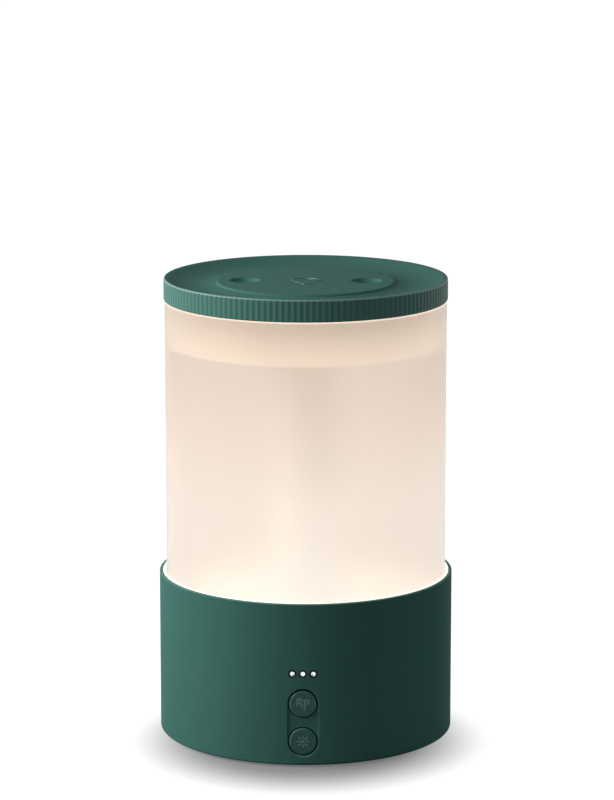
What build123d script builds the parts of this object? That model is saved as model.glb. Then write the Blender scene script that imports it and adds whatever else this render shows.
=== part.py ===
from build123d import *

import math
import os

# Cool mist humidifier: a round base, a lift-out frosted tank and a dished lid with two mist outlets.
# Millimetres, +Z up. The origin is on the table under the centre of the base. The controls face -Y.

# Outside form
tank_diameter = 143.0
tank_exposed = 140.5  # frosted wall between the base rim and the lid
tank_slip = 0.5  # radial room round the tank in the basin
basin_wall = 1.2
basin_fit = 0.1  # radial room round the basin in the housing
shell_wall = 1.7
base_height = 82.6
base_edge_round = 1.2
rim_round = 0.4
foot_proud = 1.0
lid_overhang = 0.5
lid_rim_height = 11.2

# General fits
push_fit = 0.05  # radial room of a pushed-in piece
run_fit = 0.05  # radial room of a shaft in its bearing
stop_gap = 0.3  # room at rest between a moving piece and its stop

# Screws
screw_head = 2.8
screw_head_height = 1.6
screw_shank = 1.4
small_head = 1.9
small_head_height = 1.2
small_shank = 0.95
drive_recess = 0.7  # reach of the cross recess, as a share of the head
drive_width = 0.25  # width of the cross recess, as a share of the head

# Bottom cover and feet
cover_thickness = 3.0
cover_fit = 0.15
shoulder_width = 1.5  # inner shoulder of the housing that the cover closes against
shoulder_height = 1.6
foot_radius = 6.0
foot_seat = 0.6  # depth of the pocket that a foot is glued in
foot_round = 0.3
foot_inset = 10.5  # from the housing's inner wall
foot_angle = 40.0
bottom_screw_length = 15.0

# Controls on the front
lower_button_rise = 12.4  # light button above the housing's lower edge
button_pitch = 19.3
lens_rise = 15.5  # indicator row above the mist button
button_radius = 6.8
button_gap = 0.7
button_inset = 0.15  # button face behind the housing's front line
button_round = 0.8
button_travel = 0.8
recess_width = 15.5
recess_depth = 1.2
recess_round = 0.3
pad_depth = 1.6  # flat inner pad behind the controls
pad_margin = 3.5
flange_overlap = 1.0
flange_thickness = 1.2
stem_radius = 2.0
lens_pitch = 5.2
lens_radius = 1.5
lens_inset = 0.3
lens_count = 3
lens_fit = 0.1
lens_dish = 0.55  # width and depth of the sunk ring round a lens
lens_round = 0.5
pipe_bar_height = 4.0
pipe_bar_depth = 2.0

# Button board
button_board_width = 28.0
button_board_thickness = 1.6
button_board_drop = 6.5  # below the light button's centre
button_board_rise = 3.3  # above the indicator row
button_board_standoff = 9.2
board_post_radius = 2.3
board_post_x = 11.4
board_post_low = 9.65  # above the light button
board_post_high = 29.6  # above the light button
board_post_depth = 6.0
switch_width = 6.0
switch_height = 3.5
switch_corner = 0.75
plunger_radius = 1.6
plunger_proud = 1.0
plunger_length = 2.6
plunger_room = 0.3
chip_width = 2.0
chip_height = 1.3

# Water basin
basin_headroom = 7.9  # basin floor above the indicator row
basin_floor = 2.5
basin_lip = 0.4  # lip above the housing's rim
ledge_width = 3.0
ledge_height = 2.0
well_radius = 20.0
well_wall = 2.0
well_depth = 10.0
well_floor = 2.5
column_radius = 4.0
column_inset = 17.3  # from the housing's inner wall
column_angle = 60.0
column_bore = 16.0
port_radius = 11.5
port_wall = 1.6
port_rise = 7.0
spigot_length = 5.0

# Mist maker under the well
disc_radius = 10.0
disc_thickness = 1.2
disc_window = 8.0
seal_radius = 12.5
seal_height = 3.4
seal_seat_wall = 0.8
clamp_radius = 18.6
clamp_thickness = 2.8
clamp_window = 6.0
clamp_screw_circle = 16.0
clamp_screw_count = 3
clamp_boss = 2.4
clamp_screw_length = 6.5
clamp_bore = 4.6

# Float and level sensor
float_inset = 34.0  # from the basin's inner wall
float_radius = 9.0
float_height = 6.0
float_bore = 3.2
float_travel = 3.4
float_post = 2.8
clip_radius = 4.6
clip_thickness = 1.0
clip_pin = 1.2
clip_pin_length = 4.0
magnet_inner = 4.2
magnet_outer = 6.5
magnet_height = 2.2
sensor_length = 16.0
sensor_width = 5.0
sensor_height = 3.0

# Night light
light_board_inset = 1.3  # from the basin ledge
light_board_width = 8.0
light_board_thickness = 1.2
light_board_drop = 4.0  # below the basin floor
light_gap_angle = 16.0  # half of the opening in the ring at the controls
light_led_count = 12
light_boss = 2.2
light_screw_length = 3.6
light_led_width = 3.0
light_led_height = 1.0
light_led_corner = 0.5

# Fan and air way
fan_size = 40.0
fan_thickness = 10.5
fan_frame_margin = 1.8  # frame between the bore and its sides
fan_hole_inset = 4.0
fan_hole = 1.6
fan_corner = 2.5
fan_post_height = 10.0
fan_post = 3.0
fan_screw_length = 16.0
fan_post_bore = 7.0
duct_gap = 1.6  # between the duct and the well
duct_wall = 1.4
duct_fit = 0.15
gasket_gap = 0.2  # between the gasket and the screw heads
gasket_thickness = 1.5
duct_flange = 1.5
duct_cone = 9.0
filter_radius = 16.8
filter_thickness = 4.0
fence_gap = 0.3
fence_wall = 1.2
fence_height = 5.0
slot_width = 2.4
slot_pitch = 5.0
slot_count = 7
motor_base = 1.5
motor_plate = 7.0
strut_width = 2.2
strut_count = 3
tube_wall = 0.6
bearing_radius = 2.4
shaft_radius = 1.0
rotor_gap = 0.8  # rotor above the motor base
hub_radius = 10.5
hub_wall = 1.0
blade_tip_gap = 1.0
blade_chord = 7.0
blade_thickness = 1.0
blade_angle = 38.0
blade_count = 7
hub_boss = 2.6
hub_boss_height = 0.6
rotor_magnet_width = 1.1
stator_air_gap = 0.5
stator_height = 4.5
stator_slot = 2.0
stator_poles = 4

# Driver electronics
driver_inset = 37.3  # centre of the board, from the housing's inner wall
driver_width = 44.0
driver_length = 56.0
driver_thickness = 1.6
driver_standoff = 6.0
driver_hole_inset = 4.0
standoff_radius = 3.0
driver_screw_length = 6.0
heatsink_width = 12.0
heatsink_length = 34.0
heatsink_height = 20.0
fin_gap = 2.4
fin_pitch = 5.0
fin_slots = 6
heatsink_base = 3.0
capacitor_radius = 5.0
capacitor_height = 16.0
capacitor_pitch = 12.0
capacitor_round = 0.8
coil_outer = 8.0
coil_inner = 3.5
coil_height = 7.0
coil_round = 1.75
connector_width = 8.0
connector_depth = 5.0
connector_height = 7.0

# Power inlet at the back
inlet_rise = 14.0  # above the housing's lower edge
inlet_radius = 4.0
inlet_fit = 0.15
inlet_flange = 6.0
inlet_flange_thickness = 0.8
inlet_inset = 0.1  # flange face behind the housing's back line
inlet_length = 15.0
inlet_bore = 2.8
inlet_bore_depth = 12.0
inlet_pin = 1.05
inlet_pin_length = 9.0
inlet_pin_round = 0.5
spot_face_room = 0.6
nut_radius = 5.6
nut_thickness = 2.5
nut_sides = 6

# Internal leads
lead_radius = 0.8
lead_pitch = 2.4
lead_bend = 4.0
lead_rise = 3.4  # lead above the driver board
lead_clear = 3.4  # lead above the tall parts of the driver board
lead_margin = 10.0  # lead beside the driver board and the fan
light_lead_angle = 190.0
button_lead_x = -6.0

# Tank
tank_wall_thickness = 2.2
tank_edge_round = 0.6
tank_skirt = 11.5  # wall below the tank floor
tank_floor_thickness = 2.5
floor_ledge = 1.6
mist_tube_radius = 16.0
mist_tube_wall = 2.0
mist_tube_drop = 6.0  # below the tank floor
tube_flange = 4.5
tube_flange_thickness = 2.0
tube_seal_thickness = 1.5
lock_ring_height = 4.0

# Tank valve
valve_inset = 25.0  # from the tank's inner wall
valve_hole = 8.0
valve_lift = 3.0
valve_seal_radius = 10.0
valve_seal_thickness = 1.5
valve_plate = 9.5
valve_plate_thickness = 2.0
valve_stem = 2.0
valve_stem_over = 5.0
valve_pin = 2.5
valve_guide_fit = 0.3
guide_ring_inner = 10.8
guide_ring_outer = 13.0
guide_ring_height = 2.0
guide_top_thickness = 2.0
guide_leg_width = 4.0
guide_leg_count = 3
post_radius = 3.0
post_rise = 8.0
spring_length = 7.0
spring_radius = 4.2
spring_wire = 0.8
spring_turns = 4
spring_spans = 4  # arc pairs in a turn

# Lid
rib_count = 150
rib_groove = 0.9  # radius of a groove between ribs
rib_depth = 0.4
lid_wall = 2.4
rim_land = 1.1
disc_drop = 2.0  # raised centre disc below the rim
disc_step = 0.9
centre_disc = 44.5
disc_slope = 0.9
dish_sag = 0.9
lid_plate = 2.0
rim_underside = 3.2
outlet_x = 30.9
outlet_bowl = 8.0
outlet_insert = 8.6
outlet_hole = 4.0
outlet_bowl_depth = 2.4
outlet_bowl_sag = 0.6
outlet_fit = 0.1
outlet_flange = 10.4
outlet_flange_thickness = 1.6
outlet_tail = 1.5
skirt_slip = 0.5
skirt_wall = 2.2
skirt_depth = 22.5
skirt_top = 2.5
liner_plate_drop = 8.0
liner_plate = 2.0
collar_slip = 0.5
collar_wall = 2.0
collar_depth = 8.0
collar_overlap = 6.0
drain_hole = 2.0
drain_circle = 40.0
drain_count = 6
lid_boss = 3.4
lid_boss_circle = 55.0
lid_boss_count = 4
lid_boss_start = 45.0
lid_screw_length = 9.0
lid_boss_bore = 10.0
seal_groove_drop = 5.0
seal_groove_height = 3.4
seal_groove_depth = 1.0
lid_seal_gap = 0.3  # between the seal and the tank wall
lid_seal_play = 0.1

# Radii and heights that follow
tank_radius = tank_diameter / 2
tank_inner = tank_radius - tank_wall_thickness
basin_inner = tank_radius + tank_slip
basin_radius = basin_inner + basin_wall
shell_inner = basin_radius + basin_fit
base_radius = shell_inner + shell_wall
lid_radius = tank_radius + lid_overhang
lid_inner = lid_radius - lid_wall
base_bottom = foot_proud
base_top = base_bottom + base_height
tank_top = base_top + tank_exposed
lid_top = tank_top + lid_rim_height
cover_top = base_bottom + cover_thickness
light_button_z = base_bottom + lower_button_rise
mist_button_z = light_button_z + button_pitch
lens_z = mist_button_z + lens_rise
basin_bottom = lens_z + basin_headroom
basin_top = basin_bottom + basin_floor
ledge_radius = shell_inner - ledge_width
shoulder_radius = shell_inner - shoulder_width

# Distances from the axis to the front, for the controls
pad_face = shell_inner - pad_depth
button_face = base_radius - button_inset
button_hole = button_radius + button_gap
flange_front = pad_face - stop_gap
flange_back = flange_front - flange_thickness
flange_radius = button_hole + flange_overlap
board_front = pad_face - button_board_standoff
board_back = board_front - button_board_thickness
switch_face = board_front + switch_height
stem_tip = switch_face + plunger_proud
plunger_bore = plunger_length - plunger_proud + button_travel + stop_gap
lens_xs = [lens_pitch * (i - (lens_count - 1) / 2) for i in range(lens_count)]
button_zs = (light_button_z, mist_button_z)
board_post_zs = (light_button_z + board_post_low, light_button_z + board_post_high)
board_posts = [(x, z) for x in (-board_post_x, board_post_x) for z in board_post_zs]

# Basin places
well_floor_top = basin_top - well_depth
well_bottom = well_floor_top - well_floor
well_outer = well_radius + well_wall
spigot_radius = port_radius + port_wall
duct_outer = spigot_radius + duct_fit + duct_wall
fan_x = well_outer + duct_gap + duct_outer
fan_bottom = cover_top + fan_post_height
fan_top = fan_bottom + fan_thickness
fan_bore = fan_size / 2 - fan_frame_margin
fan_hole_pitch = fan_size - 2 * fan_hole_inset
clamp_top = well_bottom - seal_height
clamp_bottom = clamp_top - clamp_thickness
float_x = float_inset - basin_inner
float_bottom = basin_top + stop_gap
float_top = float_bottom + float_height
clip_bottom = float_top + float_travel + stop_gap
valve_y = tank_inner - valve_inset
post_top = basin_top + post_rise
light_board_outer = ledge_radius - light_board_inset
light_board_inner = light_board_outer - light_board_width
light_board_middle = (light_board_outer + light_board_inner) / 2
light_board_top = basin_bottom - light_board_drop
light_arc = 360 - 2 * light_gap_angle
light_step = light_arc / light_led_count
light_start = light_gap_angle - 90
driver_x = driver_inset - shell_inner
driver_bottom = cover_top + driver_standoff
driver_top = driver_bottom + driver_thickness
driver_hole_x = driver_width - 2 * driver_hole_inset
driver_hole_y = driver_length - 2 * driver_hole_inset
inlet_z = base_bottom + inlet_rise
inlet_face = base_radius - inlet_inset
spot_face = inlet_face - inlet_flange_thickness
inlet_back = inlet_face - inlet_length
nut_face = math.sqrt(shell_inner**2 - nut_radius**2)

# Tank and lid places
tank_floor_bottom = basin_top + tank_skirt
tank_floor_top = tank_floor_bottom + tank_floor_thickness
tube_flange_bottom = tank_floor_top + tube_seal_thickness
tube_flange_radius = mist_tube_radius + tube_flange
liner_plate_top = tank_top - liner_plate_drop
liner_plate_bottom = liner_plate_top - liner_plate
collar_bottom = liner_plate_bottom - collar_depth
tube_top = collar_bottom + collar_overlap
tube_bore = mist_tube_radius - mist_tube_wall
skirt_radius = tank_inner - skirt_slip
skirt_bottom = tank_top - skirt_depth
seal_groove_top = tank_top - seal_groove_drop
seal_groove_radius = skirt_radius - seal_groove_depth
disc_top = lid_top - disc_drop
dish_bottom = disc_top - disc_step
lid_underside = dish_bottom - lid_plate
valve_seat = tank_floor_top + valve_lift
valve_plate_bottom = valve_seat + valve_seal_thickness
valve_plate_top = valve_plate_bottom + valve_plate_thickness
guide_bottom = valve_plate_top + spring_length
guide_top = guide_bottom + guide_top_thickness


def keep(piece, node):
    """Label a finished piece and write its STEP file."""
    piece.part.label = node
    export_step(piece.part, f"parts/{node}.step")


def ring_places(radius, angles):
    """Points on a circle about the axis, with angles in degrees from +X."""
    return [(radius * math.cos(math.radians(a)), radius * math.sin(math.radians(a))) for a in angles]


def mirrored_angles(angle):
    """Four angles, mirrored front to back and left to right."""
    return (angle, 180 - angle, 180 + angle, -angle)


def facing_front(distance):
    """Upright plane at a distance from the axis towards the controls, with local Y up."""
    return Plane.XZ.offset(distance)


def facing_back(distance):
    """Upright plane at a distance from the axis towards the power inlet, with local Y up."""
    return Plane(origin=(0, distance, 0), x_dir=(-1, 0, 0), z_dir=(0, 1, 0))


def facing_down(height):
    """Level plane that faces the table, mirrored left to right."""
    return Plane(origin=(0, 0, height), x_dir=(-1, 0, 0), z_dir=(0, 0, -1))


def upright(x, y):
    """Upright plane through a vertical axis, for profiles that are turned about it."""
    return Plane(origin=(x, y, 0), x_dir=(1, 0, 0), z_dir=(0, -1, 0))


def vertical(x, y):
    """Vertical axis through a point of the plan."""
    return Axis((x, y, 0), (0, 0, 1))


def make_ring(node, place, bottom, height, outer, inner):
    """A plain ring with a vertical axis."""
    with BuildPart() as ring:
        with BuildSketch(Plane.XY.offset(bottom)):
            with Locations(place):
                Circle(outer)
                Circle(inner, mode=Mode.SUBTRACT)
        extrude(amount=height)
    keep(ring, node)


def make_screws(node, seat, places, head, head_height, shank, length):
    """A group of pan-head screws: the heads stand on the seat plane and the shanks run back through it."""
    with BuildPart() as screws:
        with BuildSketch(seat):
            with Locations(*places):
                Circle(head)
        extrude(amount=head_height)
        with BuildSketch(seat):
            with Locations(*places):
                Circle(shank)
        extrude(amount=-length)
        with BuildSketch(seat.offset(head_height)):
            with Locations(*places):
                Rectangle(2 * drive_recess * head, drive_width * head)
                Rectangle(drive_width * head, 2 * drive_recess * head)
        extrude(amount=-head_height / 2, mode=Mode.SUBTRACT)
    keep(screws, node)


os.makedirs("parts", exist_ok=True)

foot_places = ring_places(shell_inner - foot_inset, mirrored_angles(foot_angle))
column_places = ring_places(shell_inner - column_inset, mirrored_angles(column_angle))
clamp_angles = [90 + 360 / clamp_screw_count * i for i in range(clamp_screw_count)]
clamp_places = ring_places(clamp_screw_circle, clamp_angles)
light_boss_angles = [light_start + light_step * i for i in range(1, light_led_count, 2)]
light_boss_places = ring_places(light_board_middle, light_boss_angles)
light_led_angles = [light_start + light_step * (i + 0.5) for i in range(light_led_count)]

# Base housing
with BuildPart() as base_shell:
    with BuildSketch(Plane.XZ):
        with BuildLine():
            Polyline(
                (base_radius, base_bottom),
                (base_radius, base_top),
                (shell_inner, base_top),
                (shell_inner, basin_bottom),
                (ledge_radius, basin_bottom),
                (ledge_radius, basin_bottom - ledge_height),
                (shell_inner, basin_bottom - ledge_height - ledge_width),
                (shell_inner, cover_top + shoulder_height),
                (shoulder_radius, cover_top + shoulder_height),
                (shoulder_radius, cover_top),
                (shell_inner, cover_top),
                (shell_inner, base_bottom),
                close=True,
            )
        make_face()
    revolve(axis=Axis.Z)
    outer_edges = base_shell.edges().filter_by(GeomType.CIRCLE).group_by(SortBy.RADIUS)[-1].sort_by(Axis.Z)
    fillet(outer_edges[0], radius=base_edge_round)
    outer_edges = base_shell.edges().filter_by(GeomType.CIRCLE).group_by(SortBy.RADIUS)[-1].sort_by(Axis.Z)
    fillet(outer_edges[-1], radius=rim_round)
    # Flat pad inside, behind the controls
    with BuildSketch(Plane.XY.offset(cover_top)):
        Circle(shell_inner + shell_wall / 2)
        with Locations((0, -pad_face)):
            Rectangle(base_radius, base_radius, align=(Align.CENTER, Align.MAX), mode=Mode.INTERSECT)
    extrude(amount=lens_z + pad_margin - cover_top)
    # Posts that carry the button board
    with BuildSketch(facing_front(board_front)):
        with Locations(*board_posts):
            Circle(board_post_radius)
    extrude(amount=pad_face + pad_depth / 2 - board_front)
    with BuildSketch(facing_front(board_front)):
        with Locations(*board_posts):
            Circle(small_shank + push_fit)
    extrude(amount=board_post_depth, mode=Mode.SUBTRACT)
    # Upright recess with the two button holes
    with BuildSketch(facing_front(base_radius - recess_depth)):
        with Locations((0, (light_button_z + mist_button_z) / 2)):
            SlotCenterToCenter(button_pitch, recess_width, rotation=90)
    extrude(amount=2 * recess_depth, mode=Mode.SUBTRACT)
    recess_edges = base_shell.edges(Select.LAST).filter_by(Axis.Y, reverse=True)
    fillet(recess_edges.filter_by(lambda e: -e.center().Y > base_radius - recess_depth / 2), radius=recess_round)
    with BuildSketch(facing_front(flange_back)):
        with Locations(*[(0, z) for z in button_zs]):
            Circle(button_hole)
    extrude(amount=base_radius - flange_back, mode=Mode.SUBTRACT)
    # Indicator holes, each with a sunk ring
    with BuildSketch(facing_front(flange_back)):
        with Locations(*[(x, lens_z) for x in lens_xs]):
            Circle(lens_radius + lens_fit)
    extrude(amount=base_radius - flange_back, mode=Mode.SUBTRACT)
    with BuildSketch(facing_front(base_radius - lens_dish)):
        with Locations(*[(x, lens_z) for x in lens_xs]):
            Circle(lens_radius + lens_dish)
    extrude(amount=2 * lens_dish, mode=Mode.SUBTRACT)
    # Seat of the power inlet
    with BuildSketch(facing_back(spot_face)):
        with Locations((0, inlet_z)):
            Circle(inlet_flange + spot_face_room)
    extrude(amount=base_radius - spot_face, mode=Mode.SUBTRACT)
    with BuildSketch(facing_back(nut_face)):
        with Locations((0, inlet_z)):
            Circle(inlet_radius + inlet_fit)
    extrude(amount=base_radius - nut_face, mode=Mode.SUBTRACT)
keep(base_shell, "base_shell")

# Bottom cover with its posts, intake slots and filter fence
with BuildPart() as bottom_cover:
    with BuildSketch(Plane.XY.offset(base_bottom)):
        Circle(shell_inner - cover_fit)
    extrude(amount=cover_thickness)
    with BuildSketch(Plane.XY.offset(cover_top)):
        with Locations((driver_x, 0)):
            with GridLocations(driver_hole_x, driver_hole_y, 2, 2):
                Circle(standoff_radius)
    extrude(amount=driver_standoff)
    with BuildSketch(Plane.XY.offset(cover_top)):
        with Locations((fan_x, 0)):
            with GridLocations(fan_hole_pitch, fan_hole_pitch, 2, 2):
                Circle(fan_post)
    extrude(amount=fan_post_height)
    with BuildSketch(Plane.XY.offset(cover_top)):
        with Locations((fan_x, 0)):
            Circle(filter_radius + fence_gap + fence_wall)
            Circle(filter_radius + fence_gap, mode=Mode.SUBTRACT)
    extrude(amount=fence_height)
    with BuildSketch(Plane.XY.offset(driver_bottom)):
        with Locations((driver_x, 0)):
            with GridLocations(driver_hole_x, driver_hole_y, 2, 2):
                Circle(small_shank + push_fit)
    extrude(amount=-driver_standoff, mode=Mode.SUBTRACT)
    with BuildSketch(Plane.XY.offset(fan_bottom)):
        with Locations((fan_x, 0)):
            with GridLocations(fan_hole_pitch, fan_hole_pitch, 2, 2):
                Circle(screw_shank + push_fit)
    extrude(amount=-fan_post_bore, mode=Mode.SUBTRACT)
    with BuildSketch(Plane.XY.offset(base_bottom)):
        with Locations((fan_x, 0)):
            with GridLocations(slot_pitch, 0, slot_count, 1):
                Rectangle(slot_width, 2 * filter_radius)
            Circle(filter_radius - slot_width, mode=Mode.INTERSECT)
    extrude(amount=cover_thickness, mode=Mode.SUBTRACT)
    with BuildSketch(Plane.XY.offset(base_bottom)):
        with Locations(*foot_places):
            Circle(foot_radius + push_fit)
    extrude(amount=foot_seat, mode=Mode.SUBTRACT)
    with BuildSketch(Plane.XY.offset(base_bottom)):
        with Locations(*column_places):
            Circle(screw_shank + push_fit)
    extrude(amount=cover_thickness, mode=Mode.SUBTRACT)
    with BuildSketch(Plane.XY.offset(base_bottom)):
        with Locations(*column_places):
            Circle(screw_head + stop_gap)
    extrude(amount=screw_head_height, mode=Mode.SUBTRACT)
keep(bottom_cover, "bottom_cover")

# Rubber feet
with BuildPart() as foot_pads:
    with BuildSketch(Plane.XY):
        with Locations(*foot_places):
            Circle(foot_radius)
    extrude(amount=foot_proud + foot_seat)
    fillet(foot_pads.edges().group_by(Axis.Z)[0], radius=foot_round)
keep(foot_pads, "foot_pads")

make_screws(
    "bottom_screws",
    facing_down(base_bottom + screw_head_height),
    column_places,
    screw_head,
    screw_head_height,
    screw_shank,
    bottom_screw_length,
)

# Water basin: floor, well over the mist maker, air port, float post, valve post and fixing columns
with BuildPart() as water_basin:
    with BuildSketch(Plane.XZ):
        with BuildLine():
            Polyline(
                (disc_window, well_bottom),
                (well_outer, well_bottom),
                (well_outer, basin_bottom),
                (basin_radius, basin_bottom),
                (basin_radius, base_top + basin_lip),
                (basin_inner, base_top + basin_lip),
                (basin_inner, basin_top),
                (well_radius, basin_top),
                (well_radius, well_floor_top),
                (disc_window, well_floor_top),
                close=True,
            )
        make_face()
    revolve(axis=Axis.Z)
    fillet(water_basin.edges().group_by(Axis.Z)[-1], radius=rim_round)
    with BuildSketch(Plane.XY.offset(basin_bottom - spigot_length)):
        with Locations((fan_x, 0)):
            Circle(spigot_radius)
    extrude(amount=spigot_length + basin_floor + port_rise)
    with BuildSketch(Plane.XY.offset(basin_bottom - spigot_length)):
        with Locations((fan_x, 0)):
            Circle(port_radius)
    extrude(amount=spigot_length + basin_floor + port_rise, mode=Mode.SUBTRACT)
    with BuildSketch(Plane.XY.offset(basin_bottom)):
        with Locations((float_x, 0)):
            Circle(float_post)
    extrude(amount=clip_bottom - basin_bottom)
    with BuildSketch(Plane.XY.offset(clip_bottom)):
        with Locations((float_x, 0)):
            Circle(clip_pin + push_fit)
    extrude(amount=-clip_pin_length, mode=Mode.SUBTRACT)
    with BuildSketch(Plane.XY.offset(basin_bottom)):
        with Locations((0, valve_y)):
            Circle(post_radius)
    extrude(amount=post_top - basin_bottom)
    with BuildSketch(Plane.XY.offset(cover_top)):
        with Locations(*column_places):
            Circle(column_radius)
            Circle(screw_shank + push_fit, mode=Mode.SUBTRACT)
    extrude(amount=column_bore)
    with BuildSketch(Plane.XY.offset(cover_top + column_bore)):
        with Locations(*column_places):
            Circle(column_radius)
    extrude(amount=basin_bottom - cover_top - column_bore)
    with BuildSketch(Plane.XY.offset(light_board_top)):
        with Locations(*light_boss_places):
            Circle(light_boss)
            Circle(small_shank + push_fit, mode=Mode.SUBTRACT)
    extrude(amount=light_board_drop)
    with BuildSketch(Plane.XY.offset(clamp_top)):
        with Locations(*clamp_places):
            Circle(clamp_boss)
        Circle(seal_radius + push_fit + seal_seat_wall)
        Circle(seal_radius + push_fit, mode=Mode.SUBTRACT)
    extrude(amount=seal_height)
    with BuildSketch(Plane.XY.offset(clamp_top)):
        with Locations(*clamp_places):
            Circle(small_shank + push_fit)
    extrude(amount=clamp_bore, mode=Mode.SUBTRACT)
keep(water_basin, "water_basin")

# Ultrasonic disc, held in a grooved seal by the clamp plate
disc_bottom = clamp_top + (seal_height - disc_thickness) / 2
with BuildPart() as transducer_disc:
    with BuildSketch(Plane.XY.offset(disc_bottom)):
        Circle(disc_radius)
    extrude(amount=disc_thickness)
keep(transducer_disc, "transducer_disc")

with BuildPart() as transducer_seal:
    with BuildSketch(Plane.XY.offset(clamp_top)):
        Circle(seal_radius)
        Circle(disc_window, mode=Mode.SUBTRACT)
    extrude(amount=seal_height)
    with BuildSketch(Plane.XY.offset(disc_bottom)):
        Circle(disc_radius)
    extrude(amount=disc_thickness, mode=Mode.SUBTRACT)
keep(transducer_seal, "transducer_seal")

with BuildPart() as transducer_clamp:
    with BuildSketch(Plane.XY.offset(clamp_bottom)):
        Circle(clamp_radius)
        Circle(clamp_window, mode=Mode.SUBTRACT)
        with Locations(*clamp_places):
            Circle(small_shank + push_fit, mode=Mode.SUBTRACT)
    extrude(amount=clamp_thickness)
keep(transducer_clamp, "transducer_clamp")

make_screws(
    "transducer_screws",
    facing_down(clamp_bottom),
    clamp_places,
    small_head,
    small_head_height,
    small_shank,
    clamp_screw_length,
)

# Float with its magnet, the clip that keeps it on its post, and the sensor under the basin
with BuildPart() as float_body:
    with BuildSketch(Plane.XY.offset(float_bottom)):
        with Locations((float_x, 0)):
            Circle(float_radius)
            Circle(float_bore, mode=Mode.SUBTRACT)
    extrude(amount=float_height)
    with BuildSketch(Plane.XY.offset(float_bottom)):
        with Locations((float_x, 0)):
            Circle(magnet_outer + push_fit)
            Circle(magnet_inner - push_fit, mode=Mode.SUBTRACT)
    extrude(amount=magnet_height, mode=Mode.SUBTRACT)
keep(float_body, "float_body")

make_ring("float_magnet", (float_x, 0), float_bottom, magnet_height, magnet_outer, magnet_inner)

with BuildPart() as float_clip:
    with BuildSketch(Plane.XY.offset(clip_bottom)):
        with Locations((float_x, 0)):
            Circle(clip_radius)
    extrude(amount=clip_thickness)
    with BuildSketch(Plane.XY.offset(clip_bottom)):
        with Locations((float_x, 0)):
            Circle(clip_pin)
    extrude(amount=-clip_pin_length)
keep(float_clip, "float_clip")

with BuildPart() as level_sensor:
    with BuildSketch(Plane.XY.offset(basin_bottom)):
        with Locations((float_x, 0)):
            Rectangle(sensor_width, sensor_length)
    extrude(amount=-sensor_height)
keep(level_sensor, "level_sensor")

# Night light: a ring board, open at the controls, with its LEDs under the basin
with BuildPart() as light_board:
    with BuildSketch(Plane.XY.offset(light_board_top)):
        with BuildLine():
            CenterArc((0, 0), light_board_outer, light_start, light_arc)
            CenterArc((0, 0), light_board_inner, light_start, light_arc)
            for end in (light_start, light_start + light_arc):
                PolarLine(ring_places(light_board_inner, (end,))[0], light_board_width, angle=end)
        make_face()
        with Locations(*light_boss_places):
            Circle(small_shank + push_fit, mode=Mode.SUBTRACT)
    extrude(amount=-light_board_thickness)
keep(light_board, "light_board")

with BuildPart() as light_leds:
    with BuildSketch(Plane.XY.offset(light_board_top)):
        with Locations(*ring_places(light_board_middle, light_led_angles)):
            RectangleRounded(light_led_width, light_led_width, light_led_corner)
    extrude(amount=light_led_height)
keep(light_leds, "light_leds")

make_screws(
    "light_board_screws",
    facing_down(light_board_top - light_board_thickness),
    light_boss_places,
    small_head,
    small_head_height,
    small_shank,
    light_screw_length,
)

# Fan: frame with motor base and bearing tube, stator, bearing and rotor
with BuildPart() as fan_frame:
    with BuildSketch(Plane.XY.offset(fan_bottom)):
        with Locations((fan_x, 0)):
            RectangleRounded(fan_size, fan_size, fan_corner)
            Circle(fan_bore, mode=Mode.SUBTRACT)
            with GridLocations(fan_hole_pitch, fan_hole_pitch, 2, 2):
                Circle(fan_hole, mode=Mode.SUBTRACT)
    extrude(amount=fan_thickness)
    with BuildSketch(Plane.XY.offset(fan_bottom)):
        with Locations((fan_x, 0)):
            Circle(motor_plate)
            with PolarLocations((motor_plate + fan_bore) / 2, strut_count):
                Rectangle(fan_bore - motor_plate + fan_frame_margin, strut_width)
    extrude(amount=motor_base)
    with BuildSketch(Plane.XY.offset(fan_bottom + motor_base)):
        with Locations((fan_x, 0)):
            Circle(bearing_radius + push_fit + tube_wall)
            Circle(bearing_radius + push_fit, mode=Mode.SUBTRACT)
    extrude(amount=rotor_gap + stator_height + tube_wall)
keep(fan_frame, "fan_frame")

rotor_bottom = fan_bottom + motor_base + rotor_gap
rotor_top = fan_top - blade_thickness / 2
tube_end = rotor_bottom + stator_height + tube_wall
make_ring(
    "fan_bearing",
    (fan_x, 0),
    fan_bottom + motor_base,
    tube_end - fan_bottom - motor_base,
    bearing_radius,
    shaft_radius + run_fit,
)

with BuildPart() as fan_shaft:
    with BuildSketch(Plane.XY.offset(rotor_bottom)):
        with Locations((fan_x, 0)):
            Circle(shaft_radius)
    extrude(amount=rotor_top - rotor_bottom)
keep(fan_shaft, "fan_shaft")

stator_radius = hub_radius - hub_wall - rotor_magnet_width - stator_air_gap
with BuildPart() as fan_stator:
    with BuildSketch(Plane.XY.offset(rotor_bottom)):
        with Locations((fan_x, 0)):
            Circle(stator_radius)
            with PolarLocations(stator_radius, stator_poles):
                Rectangle(stator_radius, stator_slot, mode=Mode.SUBTRACT)
            Circle(bearing_radius + 2 * push_fit + tube_wall, mode=Mode.SUBTRACT)
    extrude(amount=stator_height)
keep(fan_stator, "fan_stator")

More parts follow.
